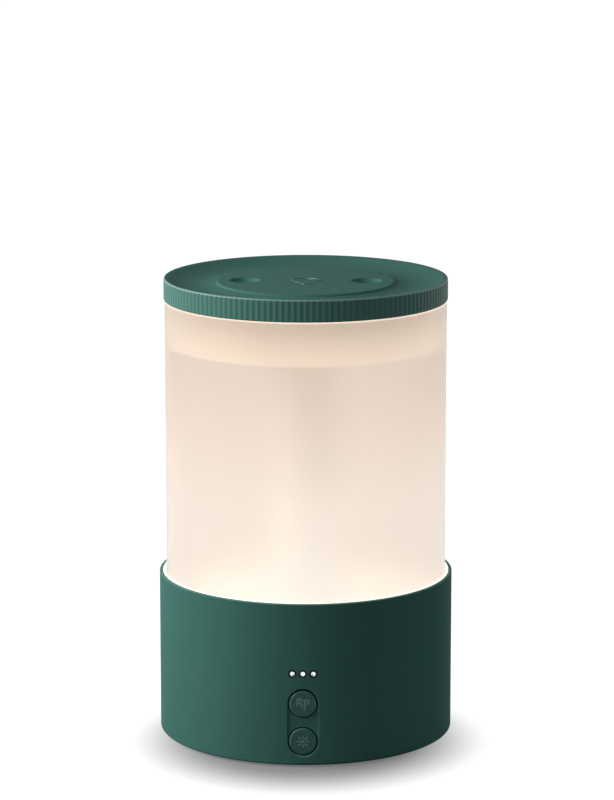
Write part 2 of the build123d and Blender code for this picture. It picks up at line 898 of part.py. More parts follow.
blade_root = hub_radius - hub_wall / 2
blade_tip = fan_bore - blade_tip_gap
with BuildPart() as fan_rotor:
    with BuildSketch(Plane.XY.offset(rotor_bottom)):
        with Locations((fan_x, 0)):
            Circle(hub_radius)
    extrude(amount=rotor_top - rotor_bottom)
    with Locations((fan_x, 0, (rotor_bottom + rotor_top) / 2)):
        with PolarLocations((blade_root + blade_tip) / 2, blade_count):
            Box(blade_tip - blade_root, blade_chord, blade_thickness, rotation=(blade_angle, 0, 0))
    with BuildSketch(Plane.XY.offset(rotor_bottom)):
        with Locations((fan_x, 0)):
            Circle(hub_radius - hub_wall)
    extrude(amount=rotor_top - hub_wall - rotor_bottom, mode=Mode.SUBTRACT)
    with BuildSketch(Plane.XY.offset(rotor_top - hub_wall)):
        with Locations((fan_x, 0)):
            Circle(hub_boss)
    extrude(amount=-hub_boss_height)
    with BuildSketch(Plane.XY.offset(rotor_top)):
        with Locations((fan_x, 0)):
            Circle(shaft_radius)
    extrude(amount=rotor_bottom - rotor_top, mode=Mode.SUBTRACT)
keep(fan_rotor, "fan_rotor")

make_ring(
    "fan_magnet",
    (fan_x, 0),
    rotor_bottom,
    stator_height,
    hub_radius - hub_wall - push_fit,
    hub_radius - hub_wall - rotor_magnet_width,
)

fan_reach = fan_hole_pitch / 2
fan_screw_places = [(fan_x + x, y) for x in (-fan_reach, fan_reach) for y in (-fan_reach, fan_reach)]
make_screws(
    "fan_screws",
    Plane.XY.offset(fan_top),
    fan_screw_places,
    screw_head,
    screw_head_height,
    screw_shank,
    fan_screw_length,
)

# Air way: filter on the cover, gasket on the fan and a duct up to the basin's air port
with BuildPart() as intake_filter:
    with BuildSketch(Plane.XY.offset(cover_top)):
        with Locations((fan_x, 0)):
            Circle(filter_radius)
    extrude(amount=filter_thickness)
keep(intake_filter, "intake_filter")

gasket_inner = fan_bore + push_fit
gasket_outer = math.hypot(fan_reach, fan_reach) - screw_head - gasket_gap
make_ring("fan_gasket", (fan_x, 0), fan_top, gasket_thickness, gasket_outer, gasket_inner)

duct_bottom = fan_top + gasket_thickness
duct_inner = spigot_radius + duct_fit
with BuildPart() as air_duct:
    with BuildSketch(upright(fan_x, 0)):
        with BuildLine():
            Polyline(
                (gasket_inner, duct_bottom),
                (gasket_outer, duct_bottom),
                (gasket_outer, duct_bottom + duct_flange),
                (duct_outer, duct_bottom + duct_flange + duct_cone),
                (duct_outer, basin_bottom),
                (duct_inner, basin_bottom),
                (duct_inner, duct_bottom + duct_flange + duct_cone),
                (gasket_outer - duct_wall, duct_bottom + duct_flange),
                close=True,
            )
        make_face()
    revolve(axis=vertical(fan_x, 0))
keep(air_duct, "air_duct")

# Driver electronics on the bottom cover
with BuildPart() as driver_board:
    with BuildSketch(Plane.XY.offset(driver_bottom)):
        with Locations((driver_x, 0)):
            Rectangle(driver_width, driver_length)
            with GridLocations(driver_hole_x, driver_hole_y, 2, 2):
                Circle(small_shank + push_fit, mode=Mode.SUBTRACT)
    extrude(amount=driver_thickness)
keep(driver_board, "driver_board")

heatsink_x = driver_x - driver_width / 2 + driver_hole_inset + heatsink_width / 2
parts_x = driver_x + driver_width / 2 - driver_hole_inset - coil_outer
with BuildPart() as driver_heatsink:
    with BuildSketch(Plane.XY.offset(driver_top)):
        with Locations((heatsink_x, 0)):
            Rectangle(heatsink_width, heatsink_length)
            with Locations((heatsink_base, 0)):
                with GridLocations(0, fin_pitch, 1, fin_slots):
                    Rectangle(heatsink_width, fin_gap, mode=Mode.SUBTRACT)
    extrude(amount=heatsink_height)
keep(driver_heatsink, "driver_heatsink")

with BuildPart() as driver_capacitors:
    with BuildSketch(Plane.XY.offset(driver_top)):
        with Locations((parts_x, coil_outer)):
            with GridLocations(0, capacitor_pitch, 1, 2):
                Circle(capacitor_radius)
    extrude(amount=capacitor_height)
    fillet(driver_capacitors.edges().group_by(Axis.Z)[-1], radius=capacitor_round)
keep(driver_capacitors, "driver_capacitors")

with BuildPart() as driver_coil:
    with BuildSketch(Plane.XY.offset(driver_top)):
        with Locations((parts_x, -capacitor_pitch)):
            Circle(coil_outer)
            Circle(coil_inner, mode=Mode.SUBTRACT)
    extrude(amount=coil_height)
    fillet(driver_coil.edges().group_by(Axis.Z)[-1], radius=coil_round)
keep(driver_coil, "driver_coil")

connector_y = (driver_length - connector_depth) / 2
connector_places = [(driver_x, connector_y), (driver_x, -connector_y), (driver_x, 0)]
with BuildPart() as driver_connectors:
    with BuildSketch(Plane.XY.offset(driver_top)):
        with Locations(*connector_places):
            Rectangle(connector_width, connector_depth)
    extrude(amount=connector_height)
keep(driver_connectors, "driver_connectors")

driver_screw_places = [
    (driver_x + sx * driver_hole_x / 2, sy * driver_hole_y / 2) for sx in (-1, 1) for sy in (-1, 1)
]
make_screws(
    "driver_screws",
    Plane.XY.offset(driver_top),
    driver_screw_places,
    small_head,
    small_head_height,
    small_shank,
    driver_screw_length,
)

# Button board with its switches, indicator LEDs, light pipe and screws
with BuildPart() as button_board:
    with BuildSketch(facing_front(board_back)):
        with Locations((0, light_button_z - button_board_drop)):
            Rectangle(
                button_board_width,
                lens_z + button_board_rise - light_button_z + button_board_drop,
                align=(Align.CENTER, Align.MIN),
            )
        with Locations(*board_posts):
            Circle(small_shank + push_fit, mode=Mode.SUBTRACT)
    extrude(amount=button_board_thickness)
keep(button_board, "button_board")

with BuildPart() as tact_switches:
    with BuildSketch(facing_front(board_front)):
        with Locations(*[(0, z) for z in button_zs]):
            RectangleRounded(switch_width, switch_width, switch_corner)
    extrude(amount=switch_height)
    with BuildSketch(facing_front(switch_face)):
        with Locations(*[(0, z) for z in button_zs]):
            Circle(plunger_radius + plunger_room)
    extrude(amount=-plunger_bore, mode=Mode.SUBTRACT)
keep(tact_switches, "tact_switches")

with BuildPart() as indicator_leds:
    with BuildSketch(facing_front(board_front)):
        with Locations(*[(x, lens_z) for x in lens_xs]):
            Rectangle(chip_width, chip_width)
    extrude(amount=chip_height)
keep(indicator_leds, "indicator_leds")

pipe_back = board_front + chip_height + stop_gap
with BuildPart() as indicator_lenses:
    with BuildSketch(facing_front(pad_face)):
        with Locations((0, lens_z)):
            SlotCenterToCenter(lens_xs[-1] - lens_xs[0], pipe_bar_height)
    extrude(amount=-pipe_bar_depth)
    with BuildSketch(facing_front(pipe_back)):
        with Locations(*[(x, lens_z) for x in lens_xs]):
            Circle(lens_radius)
    extrude(amount=base_radius - lens_inset - pipe_back)
    fillet(indicator_lenses.edges().group_by(Axis.Y)[0], radius=lens_round)
keep(indicator_lenses, "indicator_lenses")

make_screws(
    "button_board_screws",
    facing_back(-board_back),
    board_posts,
    small_head,
    small_head_height,
    small_shank,
    board_post_depth,
)

# Two push buttons, each with the plunger of its switch
for name, button_z in (("mist", mist_button_z), ("light", light_button_z)):
    with BuildPart() as button:
        with BuildSketch(facing_front(stem_tip)):
            with Locations((0, button_z)):
                Circle(stem_radius)
        extrude(amount=flange_back - stem_tip)
        with BuildSketch(facing_front(flange_back)):
            with Locations((0, button_z)):
                Circle(flange_radius)
        extrude(amount=flange_thickness)
        with BuildSketch(facing_front(flange_front)):
            with Locations((0, button_z)):
                Circle(button_radius)
        extrude(amount=button_face - flange_front)
        fillet(button.edges().group_by(Axis.Y)[0], radius=button_round)
    keep(button, f"{name}_button")

    with BuildPart() as plunger:
        with BuildSketch(facing_front(stem_tip)):
            with Locations((0, button_z)):
                Circle(plunger_radius)
        extrude(amount=-plunger_length)
    keep(plunger, f"{name}_switch_plunger")

# Power inlet in the back wall
with BuildPart() as power_inlet:
    with BuildSketch(facing_back(inlet_back)):
        with Locations((0, inlet_z)):
            Circle(inlet_radius)
    extrude(amount=inlet_length)
    with BuildSketch(facing_back(spot_face)):
        with Locations((0, inlet_z)):
            Circle(inlet_flange)
    extrude(amount=inlet_flange_thickness)
    with BuildSketch(facing_back(inlet_face)):
        with Locations((0, inlet_z)):
            Circle(inlet_bore)
    extrude(amount=-inlet_bore_depth, mode=Mode.SUBTRACT)
keep(power_inlet, "power_inlet")

with BuildPart() as inlet_pin_piece:
    with BuildSketch(facing_back(inlet_face - inlet_bore_depth)):
        with Locations((0, inlet_z)):
            Circle(inlet_pin)
    extrude(amount=inlet_pin_length)
    fillet(inlet_pin_piece.edges().group_by(Axis.Y)[-1], radius=inlet_pin_round)
keep(inlet_pin_piece, "inlet_pin")

with BuildPart() as inlet_nut:
    with BuildSketch(facing_back(nut_face)):
        with Locations((0, inlet_z)):
            RegularPolygon(nut_radius, nut_sides)
            Circle(inlet_radius + push_fit, mode=Mode.SUBTRACT)
    extrude(amount=-nut_thickness)
keep(inlet_nut, "inlet_nut")

# Internal leads: inlet, fan, button board, ultrasonic disc, night light and level sensor to the driver board
board_edge = driver_length / 2
low_z = driver_top + lead_rise
high_z = driver_top + heatsink_height + lead_clear
connector_top = driver_top + connector_height
fan_side = fan_x - fan_size / 2
light_lead_x, light_lead_y = ring_places(light_board_middle, (light_lead_angle,))[0]
lead_routes = []
for side in (-0.5, 0.5):
    step = side * lead_pitch
    lead_routes += [
        [
            (step, inlet_back, inlet_z),
            (step, board_edge + lead_margin - step, inlet_z),
            (driver_x + step, board_edge + lead_margin - step, low_z),
            (driver_x + step, board_edge, low_z),
        ],
        [
            (fan_side, -lead_margin, low_z + step),
            (fan_side - lead_margin, -lead_margin, low_z + step),
            (fan_side - lead_margin, -connector_y, low_z + step),
            (driver_x + connector_width / 2, -connector_y, low_z + step),
        ],
        [
            (button_lead_x, -board_back, low_z + step),
            (button_lead_x, -board_edge - lead_margin, low_z + step),
            (driver_x, -board_edge - lead_margin, low_z + step),
            (driver_x, -board_edge, low_z + step),
        ],
        [
            (0, step, disc_bottom),
            (0, step, high_z - lead_margin / 2),
            (driver_x, step, high_z - lead_margin / 2),
            (driver_x, step, connector_top),
        ],
        [
            (light_lead_x, light_lead_y + step, light_board_top - light_board_thickness),
            (light_lead_x, light_lead_y + step, high_z),
            (driver_x, step - connector_y, high_z),
            (driver_x, step - connector_y, connector_top),
        ],
        [
            (driver_x - lead_pitch, step, basin_bottom - sensor_height),
            (driver_x - lead_pitch, step, connector_top),
        ],
    ]
with BuildPart() as internal_leads:
    for points in lead_routes:
        with BuildLine() as route:
            if len(points) > 2:
                FilletPolyline(*points, radius=lead_bend)
            else:
                Line(*points)
        with BuildSketch(Plane(origin=points[0], z_dir=route.wire() % 0)):
            Circle(lead_radius)
        sweep(path=route.wire())
keep(internal_leads, "internal_leads")

# Frosted tank: wall on its standing rim, with a ledge for the floor
with BuildPart() as tank_wall:
    with BuildSketch(Plane.XZ):
        with BuildLine():
            Polyline(
                (tank_inner, basin_top),
                (tank_radius, basin_top),
                (tank_radius, tank_top),
                (tank_inner, tank_top),
                (tank_inner, tank_floor_bottom),
                (tank_inner - floor_ledge, tank_floor_bottom),
                (tank_inner - floor_ledge, tank_floor_bottom - floor_ledge),
                (tank_inner, tank_floor_bottom - 2 * floor_ledge),
                close=True,
            )
        make_face()
    revolve(axis=Axis.Z)
    outer_edges = tank_wall.edges().filter_by(GeomType.CIRCLE).group_by(SortBy.RADIUS)[-1]
    fillet(outer_edges, radius=tank_edge_round)
keep(tank_wall, "tank_wall")

with BuildPart() as tank_floor:
    with BuildSketch(Plane.XY.offset(tank_floor_bottom)):
        Circle(tank_inner - push_fit)
        Circle(mist_tube_radius + push_fit, mode=Mode.SUBTRACT)
        with Locations((0, valve_y)):
            Circle(valve_hole, mode=Mode.SUBTRACT)
    extrude(amount=tank_floor_thickness)
keep(tank_floor, "tank_floor")

# Mist tube up the middle of the tank, clamped through the floor
with BuildPart() as mist_tube:
    with BuildSketch(Plane.XY.offset(tank_floor_bottom - mist_tube_drop)):
        Circle(mist_tube_radius)
    extrude(amount=tube_top - tank_floor_bottom + mist_tube_drop)
    with BuildSketch(Plane.XY.offset(tube_flange_bottom)):
        Circle(tube_flange_radius)
    extrude(amount=tube_flange_thickness)
    with BuildSketch(Plane.XY.offset(tube_top)):
        Circle(tube_bore)
    extrude(amount=tank_floor_bottom - mist_tube_drop - tube_top, mode=Mode.SUBTRACT)
keep(mist_tube, "mist_tube")

tube_hole = mist_tube_radius + push_fit
make_ring("tube_seal", (0, 0), tank_floor_top, tube_seal_thickness, tube_flange_radius, tube_hole)
make_ring(
    "tube_lock_ring",
    (0, 0),
    tank_floor_bottom - lock_ring_height,
    lock_ring_height,
    tube_flange_radius,
    tube_hole,
)

# Tank valve: guide on the floor, spring, and a plunger with its seal that the basin's post holds open
with BuildPart() as valve_guide:
    with BuildSketch(Plane.XY.offset(tank_floor_top)):
        with Locations((0, valve_y)):
            Circle(guide_ring_outer)
            Circle(guide_ring_inner, mode=Mode.SUBTRACT)
    extrude(amount=guide_ring_height)
    with BuildSketch(Plane.XY.offset(tank_floor_top)):
        with Locations((0, valve_y)):
            with PolarLocations(guide_ring_outer, guide_leg_count):
                Rectangle(2 * (guide_ring_outer - guide_ring_inner), guide_leg_width)
            Circle(guide_ring_outer, mode=Mode.INTERSECT)
    extrude(amount=guide_top - tank_floor_top)
    with BuildSketch(Plane.XY.offset(guide_bottom)):
        with Locations((0, valve_y)):
            Circle(guide_ring_outer)
    extrude(amount=guide_top_thickness)
    with BuildSketch(Plane.XY.offset(guide_bottom)):
        with Locations((0, valve_y)):
            Circle(valve_stem + valve_guide_fit)
    extrude(amount=guide_top_thickness, mode=Mode.SUBTRACT)
keep(valve_guide, "valve_guide")

with BuildPart() as valve_plunger:
    with BuildSketch(Plane.XY.offset(post_top + stop_gap)):
        with Locations((0, valve_y)):
            Circle(valve_pin)
    extrude(amount=valve_plate_bottom - post_top - stop_gap)
    with BuildSketch(Plane.XY.offset(valve_plate_bottom)):
        with Locations((0, valve_y)):
            Circle(valve_plate)
    extrude(amount=valve_plate_thickness)
    with BuildSketch(Plane.XY.offset(valve_plate_top)):
        with Locations((0, valve_y)):
            Circle(valve_stem)
    extrude(amount=guide_top + valve_stem_over - valve_plate_top)
keep(valve_plunger, "valve_plunger")

make_ring(
    "valve_seal",
    (0, valve_y),
    valve_seat,
    valve_seal_thickness,
    valve_seal_radius,
    valve_pin + push_fit,
)


def spring_point(turn, bottom, pitch):
    """Point and direction on the spring's helix after a number of turns."""
    angle = 2 * math.pi * turn
    point = Vector(
        spring_radius * math.cos(angle),
        valve_y + spring_radius * math.sin(angle),
        bottom + pitch * turn,
    )
    across = Vector(-math.sin(angle), math.cos(angle), pitch / (2 * math.pi * spring_radius))
    return point, across.normalized()


spring_bottom = valve_plate_top + spring_wire / 2 + run_fit
spring_pitch = (spring_length - spring_wire - 2 * run_fit) / spring_turns
with BuildPart() as valve_spring:
    with BuildLine() as spring_path:
        for i in range(spring_spans * spring_turns):
            start, start_way = spring_point(i / spring_spans, spring_bottom, spring_pitch)
            end, end_way = spring_point((i + 1) / spring_spans, spring_bottom, spring_pitch)
            span = end - start
            bend = 2 * (1 - start_way.dot(end_way))
            along = span.dot(start_way + end_way)
            reach = (math.sqrt(along**2 + bend * span.dot(span)) - along) / bend
            middle = (start + start_way * reach + end - end_way * reach) / 2
            TangentArc(start, middle, tangent=start_way)
            TangentArc(middle, end, tangent=end - end_way * reach - start - start_way * reach)
    with BuildSketch(Plane(origin=spring_path.wire() @ 0, z_dir=spring_path.wire() % 0)):
        Circle(spring_wire / 2)
    sweep(path=spring_path.wire())
keep(valve_spring, "valve_spring")
spring_steps = range(spring_spans**2 * spring_turns + 1)
spring_points = [spring_point(i / spring_spans**2, spring_bottom, spring_pitch)[0] for i in spring_steps]
turn_gap = min(
    (a - b).length for i, a in enumerate(spring_points) for b in spring_points[i + 2 * spring_spans :]
)
print(f"valve spring, least gap between turns {turn_gap - spring_wire:.2f}")

# Lid cap: ribbed edge, dished top with a raised centre disc, and screw bosses underneath
rim_inner = lid_radius - rim_land
dish_inner = centre_disc + disc_slope
outlet_places = [(-outlet_x, 0), (outlet_x, 0)]
lid_boss_angles = [lid_boss_start + 360 / lid_boss_count * i for i in range(lid_boss_count)]
lid_boss_places = ring_places(lid_boss_circle, lid_boss_angles)
with BuildPart() as lid_cap:
    with BuildSketch(Plane.XZ):
        with BuildLine():
            Polyline(
                (rim_inner, lid_top),
                (rim_inner, tank_top),
                (lid_inner, tank_top),
                (lid_inner, lid_top - rim_underside),
                (dish_inner, lid_underside),
                (0, lid_underside),
                (0, disc_top),
                (centre_disc, disc_top),
                (dish_inner, dish_bottom),
            )
            ThreePointArc(
                (dish_inner, dish_bottom),
                ((rim_inner + dish_inner) / 2, (lid_top + dish_bottom) / 2 - dish_sag),
                (rim_inner, lid_top),
            )
        make_face()
    revolve(axis=Axis.Z)
    with BuildSketch(Plane.XY.offset(liner_plate_top)):
        with Locations(*lid_boss_places):
            Circle(lid_boss)
    extrude(amount=lid_underside + lid_plate / 2 - liner_plate_top)
    with BuildSketch(Plane.XY.offset(liner_plate_top)):
        with Locations(*lid_boss_places):
            Circle(screw_shank + push_fit)
    extrude(amount=lid_boss_bore, mode=Mode.SUBTRACT)
    with BuildSketch(Plane.XY.offset(lid_underside)):
        with Locations(*outlet_places):
            Circle(outlet_insert + outlet_fit)
    extrude(amount=lid_top - lid_underside, mode=Mode.SUBTRACT)
    with BuildSketch(Plane.XY.offset(tank_top)):
        Circle(lid_radius)
        with PolarLocations(lid_radius - rib_depth + rib_groove, rib_count):
            Circle(rib_groove, mode=Mode.SUBTRACT)
        Circle(rim_inner, mode=Mode.SUBTRACT)
    extrude(amount=lid_rim_height)
keep(lid_cap, "lid_cap")

# Outlet inserts, pushed up from below
for name, (x, y) in zip(("left", "right"), outlet_places):
    with BuildPart() as outlet:
        with BuildSketch(upright(x, y)):
            with BuildLine():
                Polyline(
                    (outlet_hole, disc_top - outlet_bowl_depth),
                    (outlet_hole, lid_underside - outlet_flange_thickness - outlet_tail),
                    (outlet_insert, lid_underside - outlet_flange_thickness - outlet_tail),
                    (outlet_insert, lid_underside - outlet_flange_thickness),
                    (outlet_flange, lid_underside - outlet_flange_thickness),
                    (outlet_flange, lid_underside),
                    (outlet_insert, lid_underside),
                    (outlet_insert, disc_top),
                    (outlet_bowl, disc_top),
                )
                SagittaArc(
                    (outlet_bowl, disc_top),
                    (outlet_hole, disc_top - outlet_bowl_depth),
                    outlet_bowl_sag,
                )
            make_face()
        revolve(axis=vertical(x, y))
    keep(outlet, f"{name}_outlet")

# Lid liner: skirt inside the tank, plate over the water and a collar round the mist tube
with BuildPart() as lid_liner:
    with BuildSketch(Plane.XZ):
        with BuildLine():
            Polyline(
                (tube_bore, liner_plate_bottom),
                (mist_tube_radius + collar_slip, liner_plate_bottom),
                (mist_tube_radius + collar_slip, collar_bottom),
                (mist_tube_radius + collar_slip + collar_wall, collar_bottom),
                (mist_tube_radius + collar_slip + collar_wall, liner_plate_bottom),
                (skirt_radius - skirt_wall, liner_plate_bottom),
                (skirt_radius - skirt_wall, skirt_bottom),
                (skirt_radius, skirt_bottom),
                (skirt_radius, seal_groove_top - seal_groove_height),
                (seal_groove_radius, seal_groove_top - seal_groove_height),
                (seal_groove_radius, seal_groove_top),
                (skirt_radius, seal_groove_top),
                (skirt_radius, tank_top + skirt_top),
                (skirt_radius - skirt_wall, tank_top + skirt_top),
                (skirt_radius - skirt_wall, liner_plate_top),
                (tube_bore, liner_plate_top),
                close=True,
            )
        make_face()
    revolve(axis=Axis.Z)
    with BuildSketch(Plane.XY.offset(liner_plate_bottom)):
        with Locations(*lid_boss_places):
            Circle(screw_shank + push_fit)
        with PolarLocations(drain_circle, drain_count):
            Circle(drain_hole)
    extrude(amount=liner_plate, mode=Mode.SUBTRACT)
keep(lid_liner, "lid_liner")

make_ring(
    "lid_seal",
    (0, 0),
    seal_groove_top - seal_groove_height + lid_seal_play,
    seal_groove_height - 2 * lid_seal_play,
    tank_inner - lid_seal_gap,
    seal_groove_radius + push_fit,
)

make_screws(
    "lid_screws",
    facing_down(liner_plate_bottom),
    lid_boss_places,
    screw_head,
    screw_head_height,
    screw_shank,
    lid_screw_length,
)
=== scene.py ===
import math

import bmesh
import bpy
from mathutils import Matrix, Vector


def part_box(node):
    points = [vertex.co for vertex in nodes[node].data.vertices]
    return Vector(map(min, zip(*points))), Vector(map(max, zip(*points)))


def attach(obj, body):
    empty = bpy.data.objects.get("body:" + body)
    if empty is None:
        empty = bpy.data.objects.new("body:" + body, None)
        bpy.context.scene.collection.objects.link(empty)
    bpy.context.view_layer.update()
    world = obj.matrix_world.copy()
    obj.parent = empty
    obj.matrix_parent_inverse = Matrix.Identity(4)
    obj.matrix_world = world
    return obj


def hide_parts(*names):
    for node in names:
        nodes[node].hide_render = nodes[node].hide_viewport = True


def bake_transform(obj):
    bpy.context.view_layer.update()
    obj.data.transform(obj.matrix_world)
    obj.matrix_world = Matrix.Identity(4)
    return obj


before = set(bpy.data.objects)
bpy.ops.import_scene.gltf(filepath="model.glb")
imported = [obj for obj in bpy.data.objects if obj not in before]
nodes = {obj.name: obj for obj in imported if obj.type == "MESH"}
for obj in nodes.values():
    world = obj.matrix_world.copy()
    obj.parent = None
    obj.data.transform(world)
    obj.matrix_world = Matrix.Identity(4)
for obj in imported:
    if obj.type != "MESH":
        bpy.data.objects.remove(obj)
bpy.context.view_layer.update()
scene = bpy.context.scene
mm = 0.001

# Sizes read from the frame
base_low, base_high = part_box("base_shell")
basin_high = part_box("water_basin")[1]
tank_low, tank_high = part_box("tank_wall")
floor_low, floor_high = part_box("tank_floor")
lid_low, lid_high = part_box("lid_cap")
liner_low, liner_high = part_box("lid_liner")
outlet_low, outlet_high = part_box("right_outlet")
mist_low, mist_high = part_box("mist_button")
light_low, light_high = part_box("light_button")
lens_low, lens_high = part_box("indicator_lenses")
base_radius = base_high.x
lid_radius = lid_high.x
outlet_x = (outlet_low.x + outlet_high.x) / 2
mist_z = (mist_low.z + mist_high.z) / 2
light_z = (light_low.z + light_high.z) / 2
lens_z = (lens_low.z + lens_high.z) / 2

# Controls on the front
lens_pitch = 5.2 * mm
button_corner = 6.3 * mm  # radius of the rounded edge of a button's face
button_hole = 7.5 * mm  # radius of the hole round a button
recess_half = 7.75 * mm  # half the width of the recess round both buttons
collar_bore = 1.55 * mm
collar_radius = 2.0 * mm
collar_sunk = 0.1 * mm  # front of a collar behind the lens faces
collar_depth = 0.16 * mm
collar_steps = 48

# Lid form
rib_count = 150
rib_depth = 0.27 * mm
rib_steps = 8  # mesh steps round one rib
rib_fullness = 0.6  # below 1, the grooves are wider than the crests
top_runout = 0.12  # share of the rim's round in which the ribs run out
bottom_runout = 0.7
rim_round = 0.9 * mm
rim_steps = 6
rim_land = 1.1 * mm
rim_underside = 3.2 * mm
lid_wall = 2.4 * mm
lid_plate = 2.0 * mm
inner_chamfer = 0.4 * mm
foot_chamfer = 0.3 * mm
dish_sag = 2.2 * mm
dish_steps = 13
disc_edge = 44.5 * mm
disc_slope = 0.9 * mm
disc_drop = 2.0 * mm
disc_step = 0.9 * mm
disc_crown = 0.1 * mm
disc_land = 0.8 * mm
outlet_reach = 8.6 * mm
outlet_room = 0.1 * mm
boss_count = 4
boss_circle = 55.0 * mm
boss_radius = 3.4 * mm
boss_bore = 1.45 * mm
boss_bore_depth = 10 * mm
boss_steps = 32
bore_steps = 24
cut_past = 1 * mm  # cutters run past the faces that they cut

# Signs
sign_width = 0.95 * mm
sign_height = 0.06 * mm
drop_width = 1.0 * mm
drop_height = 0.45 * mm

# Stage, lamps and camera
floor_size = 12.0
floor_cells = 8
floor_patch = 0.4
# Painted shadow on the floor round the foot
shadow_stretch = (1.066, 1, 0)
shadow_offset = (0, 26.6 * mm, 0)
shadow_inner = 50.7 * mm
shadow_outer = 108 * mm
shadow_least = 0.157
sky_strength = 0.19
key_turn = math.radians(79)
key_rise = math.radians(28)
key_distance = 0.74
key_aim = 0.12
camera_distance = 1.716
camera_height = 0.5142
camera_turn = math.radians(1.1)
camera_pitch = math.radians(11.29)
camera_lens = 154.6
camera_sensor = 36
camera_shift = 1.25 / 800  # share of the picture's long side
white = (1.0, 1.0, 1.0, 1.0)
black = (0.0, 0.0, 0.0, 1.0)


def shade(red, green, blue):
    """Linear colour of an sRGB colour in 8-bit steps."""
    parts = [v / 255 for v in (red, green, blue)]
    linear = [v / 12.92 if v <= 0.04045 else ((v + 0.055) / 1.055) ** 2.4 for v in parts]
    return (*linear, 1.0)


def toned(colour, factor):
    """A colour made lighter or darker."""
    return (*(v * factor for v in colour[:3]), 1.0)


class Field:
    """A value in a material. Operators on it add Math nodes."""

    def __init__(self, paint, socket):
        self.paint = paint
        self.socket = socket

    def math(self, operation, *values):
        """One Math node on values or fields."""
        sockets = dict(enumerate(values))
        return self.paint.add("ShaderNodeMath", {"operation": operation}, sockets)

    def __add__(self, other):
        return self.math("ADD", self, other)

    def __sub__(self, other):
        return self.math("SUBTRACT", self, other)

    def __rsub__(self, other):
        return self.math("SUBTRACT", other, self)

    def __mul__(self, other):
        return self.math("MULTIPLY", self, other)

    __radd__ = __add__
    __rmul__ = __mul__

    def ramp(self, low, high):
        """Smooth rise from 0 at low to 1 at high."""
        settings = {"interpolation_type": "SMOOTHSTEP"}
        sockets = {"Value": self, "From Min": low, "From Max": high}
        return self.paint.add("ShaderNodeMapRange", settings, sockets)


class Paint:
    """One procedural material, in the frame's own coordinates."""

    def __init__(self, name, sockets=None):
        self.material = bpy.data.materials.new(name)
        self.material.use_nodes = True
        self.tree = self.material.node_tree
        self.shader = self.tree.nodes["Principled BSDF"]
        self.place = self.add("ShaderNodeTexCoord", output="Object")
        self.set(sockets or {})

    def add(self, kind, settings=None, sockets=None, output=0):
        """A new node with its settings, then its sockets. Gives one of its outputs."""
        node = self.tree.nodes.new(kind)
        for name, value in (settings or {}).items():
            if name == "stops":
                ramp = node.color_ramp.elements
                while len(ramp) < len(value):
                    ramp.new(1.0)
                for stop, (at, colour) in zip(ramp, value):
                    stop.position = at
                    stop.color = colour
            else:
                setattr(node, name, value)
        for name, value in (sockets or {}).items():
            self.join(value, node.inputs[name])
        return Field(self, node.outputs[output])

    def join(self, value, socket):
        """A link from a field, or a plain value, into a socket."""
        if isinstance(value, Field):
            self.tree.links.new(value.socket, socket)
        else:
            socket.default_value = value

    def set(self, sockets):
        """Values or links for the shader's own sockets."""
        for name, value in sockets.items():
            self.join(value, self.shader.inputs[name])
        return self

    def vector(self, operation, *values, output="Vector"):
        """Vector maths on values or fields."""
        sockets = dict(enumerate(values))
        return self.add("ShaderNodeVectorMath", {"operation": operation}, sockets, output)

    def axis(self, name):
        """One coordinate of the place."""
        return self.add("ShaderNodeSeparateXYZ", sockets={"Vector": self.place}, output=name)

    def reach(self):
        """Distance from the vertical axis of the part."""
        flat = self.vector("MULTIPLY", self.place, (1, 1, 0))
        return self.vector("LENGTH", flat, output="Value")

    def noise(self, size, detail=2.0, stretch=(1, 1, 1)):
        """Noise from 0 to 1 whose grains are about the given size."""
        place = self.vector("MULTIPLY", self.place, stretch)
        sockets = {"Vector": place, "Scale": 1 / size, "Detail": detail}
        return self.add("ShaderNodeTexNoise", sockets=sockets)

    def cells(self, size, feature="F1"):
        """Distance inside cells of about the given size."""
        sockets = {"Vector": self.place, "Scale": 1 / size}
        return self.add("ShaderNodeTexVoronoi", {"feature": feature}, sockets, "Distance")

    def bands(self, pitch, blur):
        """Waves of the given pitch up the part."""
        settings = {"wave_type": "BANDS", "bands_direction": "Z", "wave_profile": "SIN"}
        scale = 2 * math.pi / (20 * pitch)
        sockets = {"Vector": self.place, "Scale": scale, "Distortion": blur}
        return self.add("ShaderNodeTexWave", settings, sockets, "Fac")

    def mix(self, factor, first, second):
        """A blend from the first colour to the second."""
        settings = {"data_type": "RGBA", "blend_type": "MIX"}
        return self.add("ShaderNodeMix", settings, {0: factor, 6: first, 7: second}, 2)

    def stops(self, value, *stops):
        """A colour from stops of level and colour."""
        return self.add("ShaderNodeValToRGB", {"stops": stops}, {"Fac": value})

    def bump(self, height, depth):
        """Fine relief of the given depth."""
        sockets = {"Height": height, "Distance": depth, "Strength": 1.0}
        return self.set({"Normal": self.add("ShaderNodeBump", sockets=sockets)})


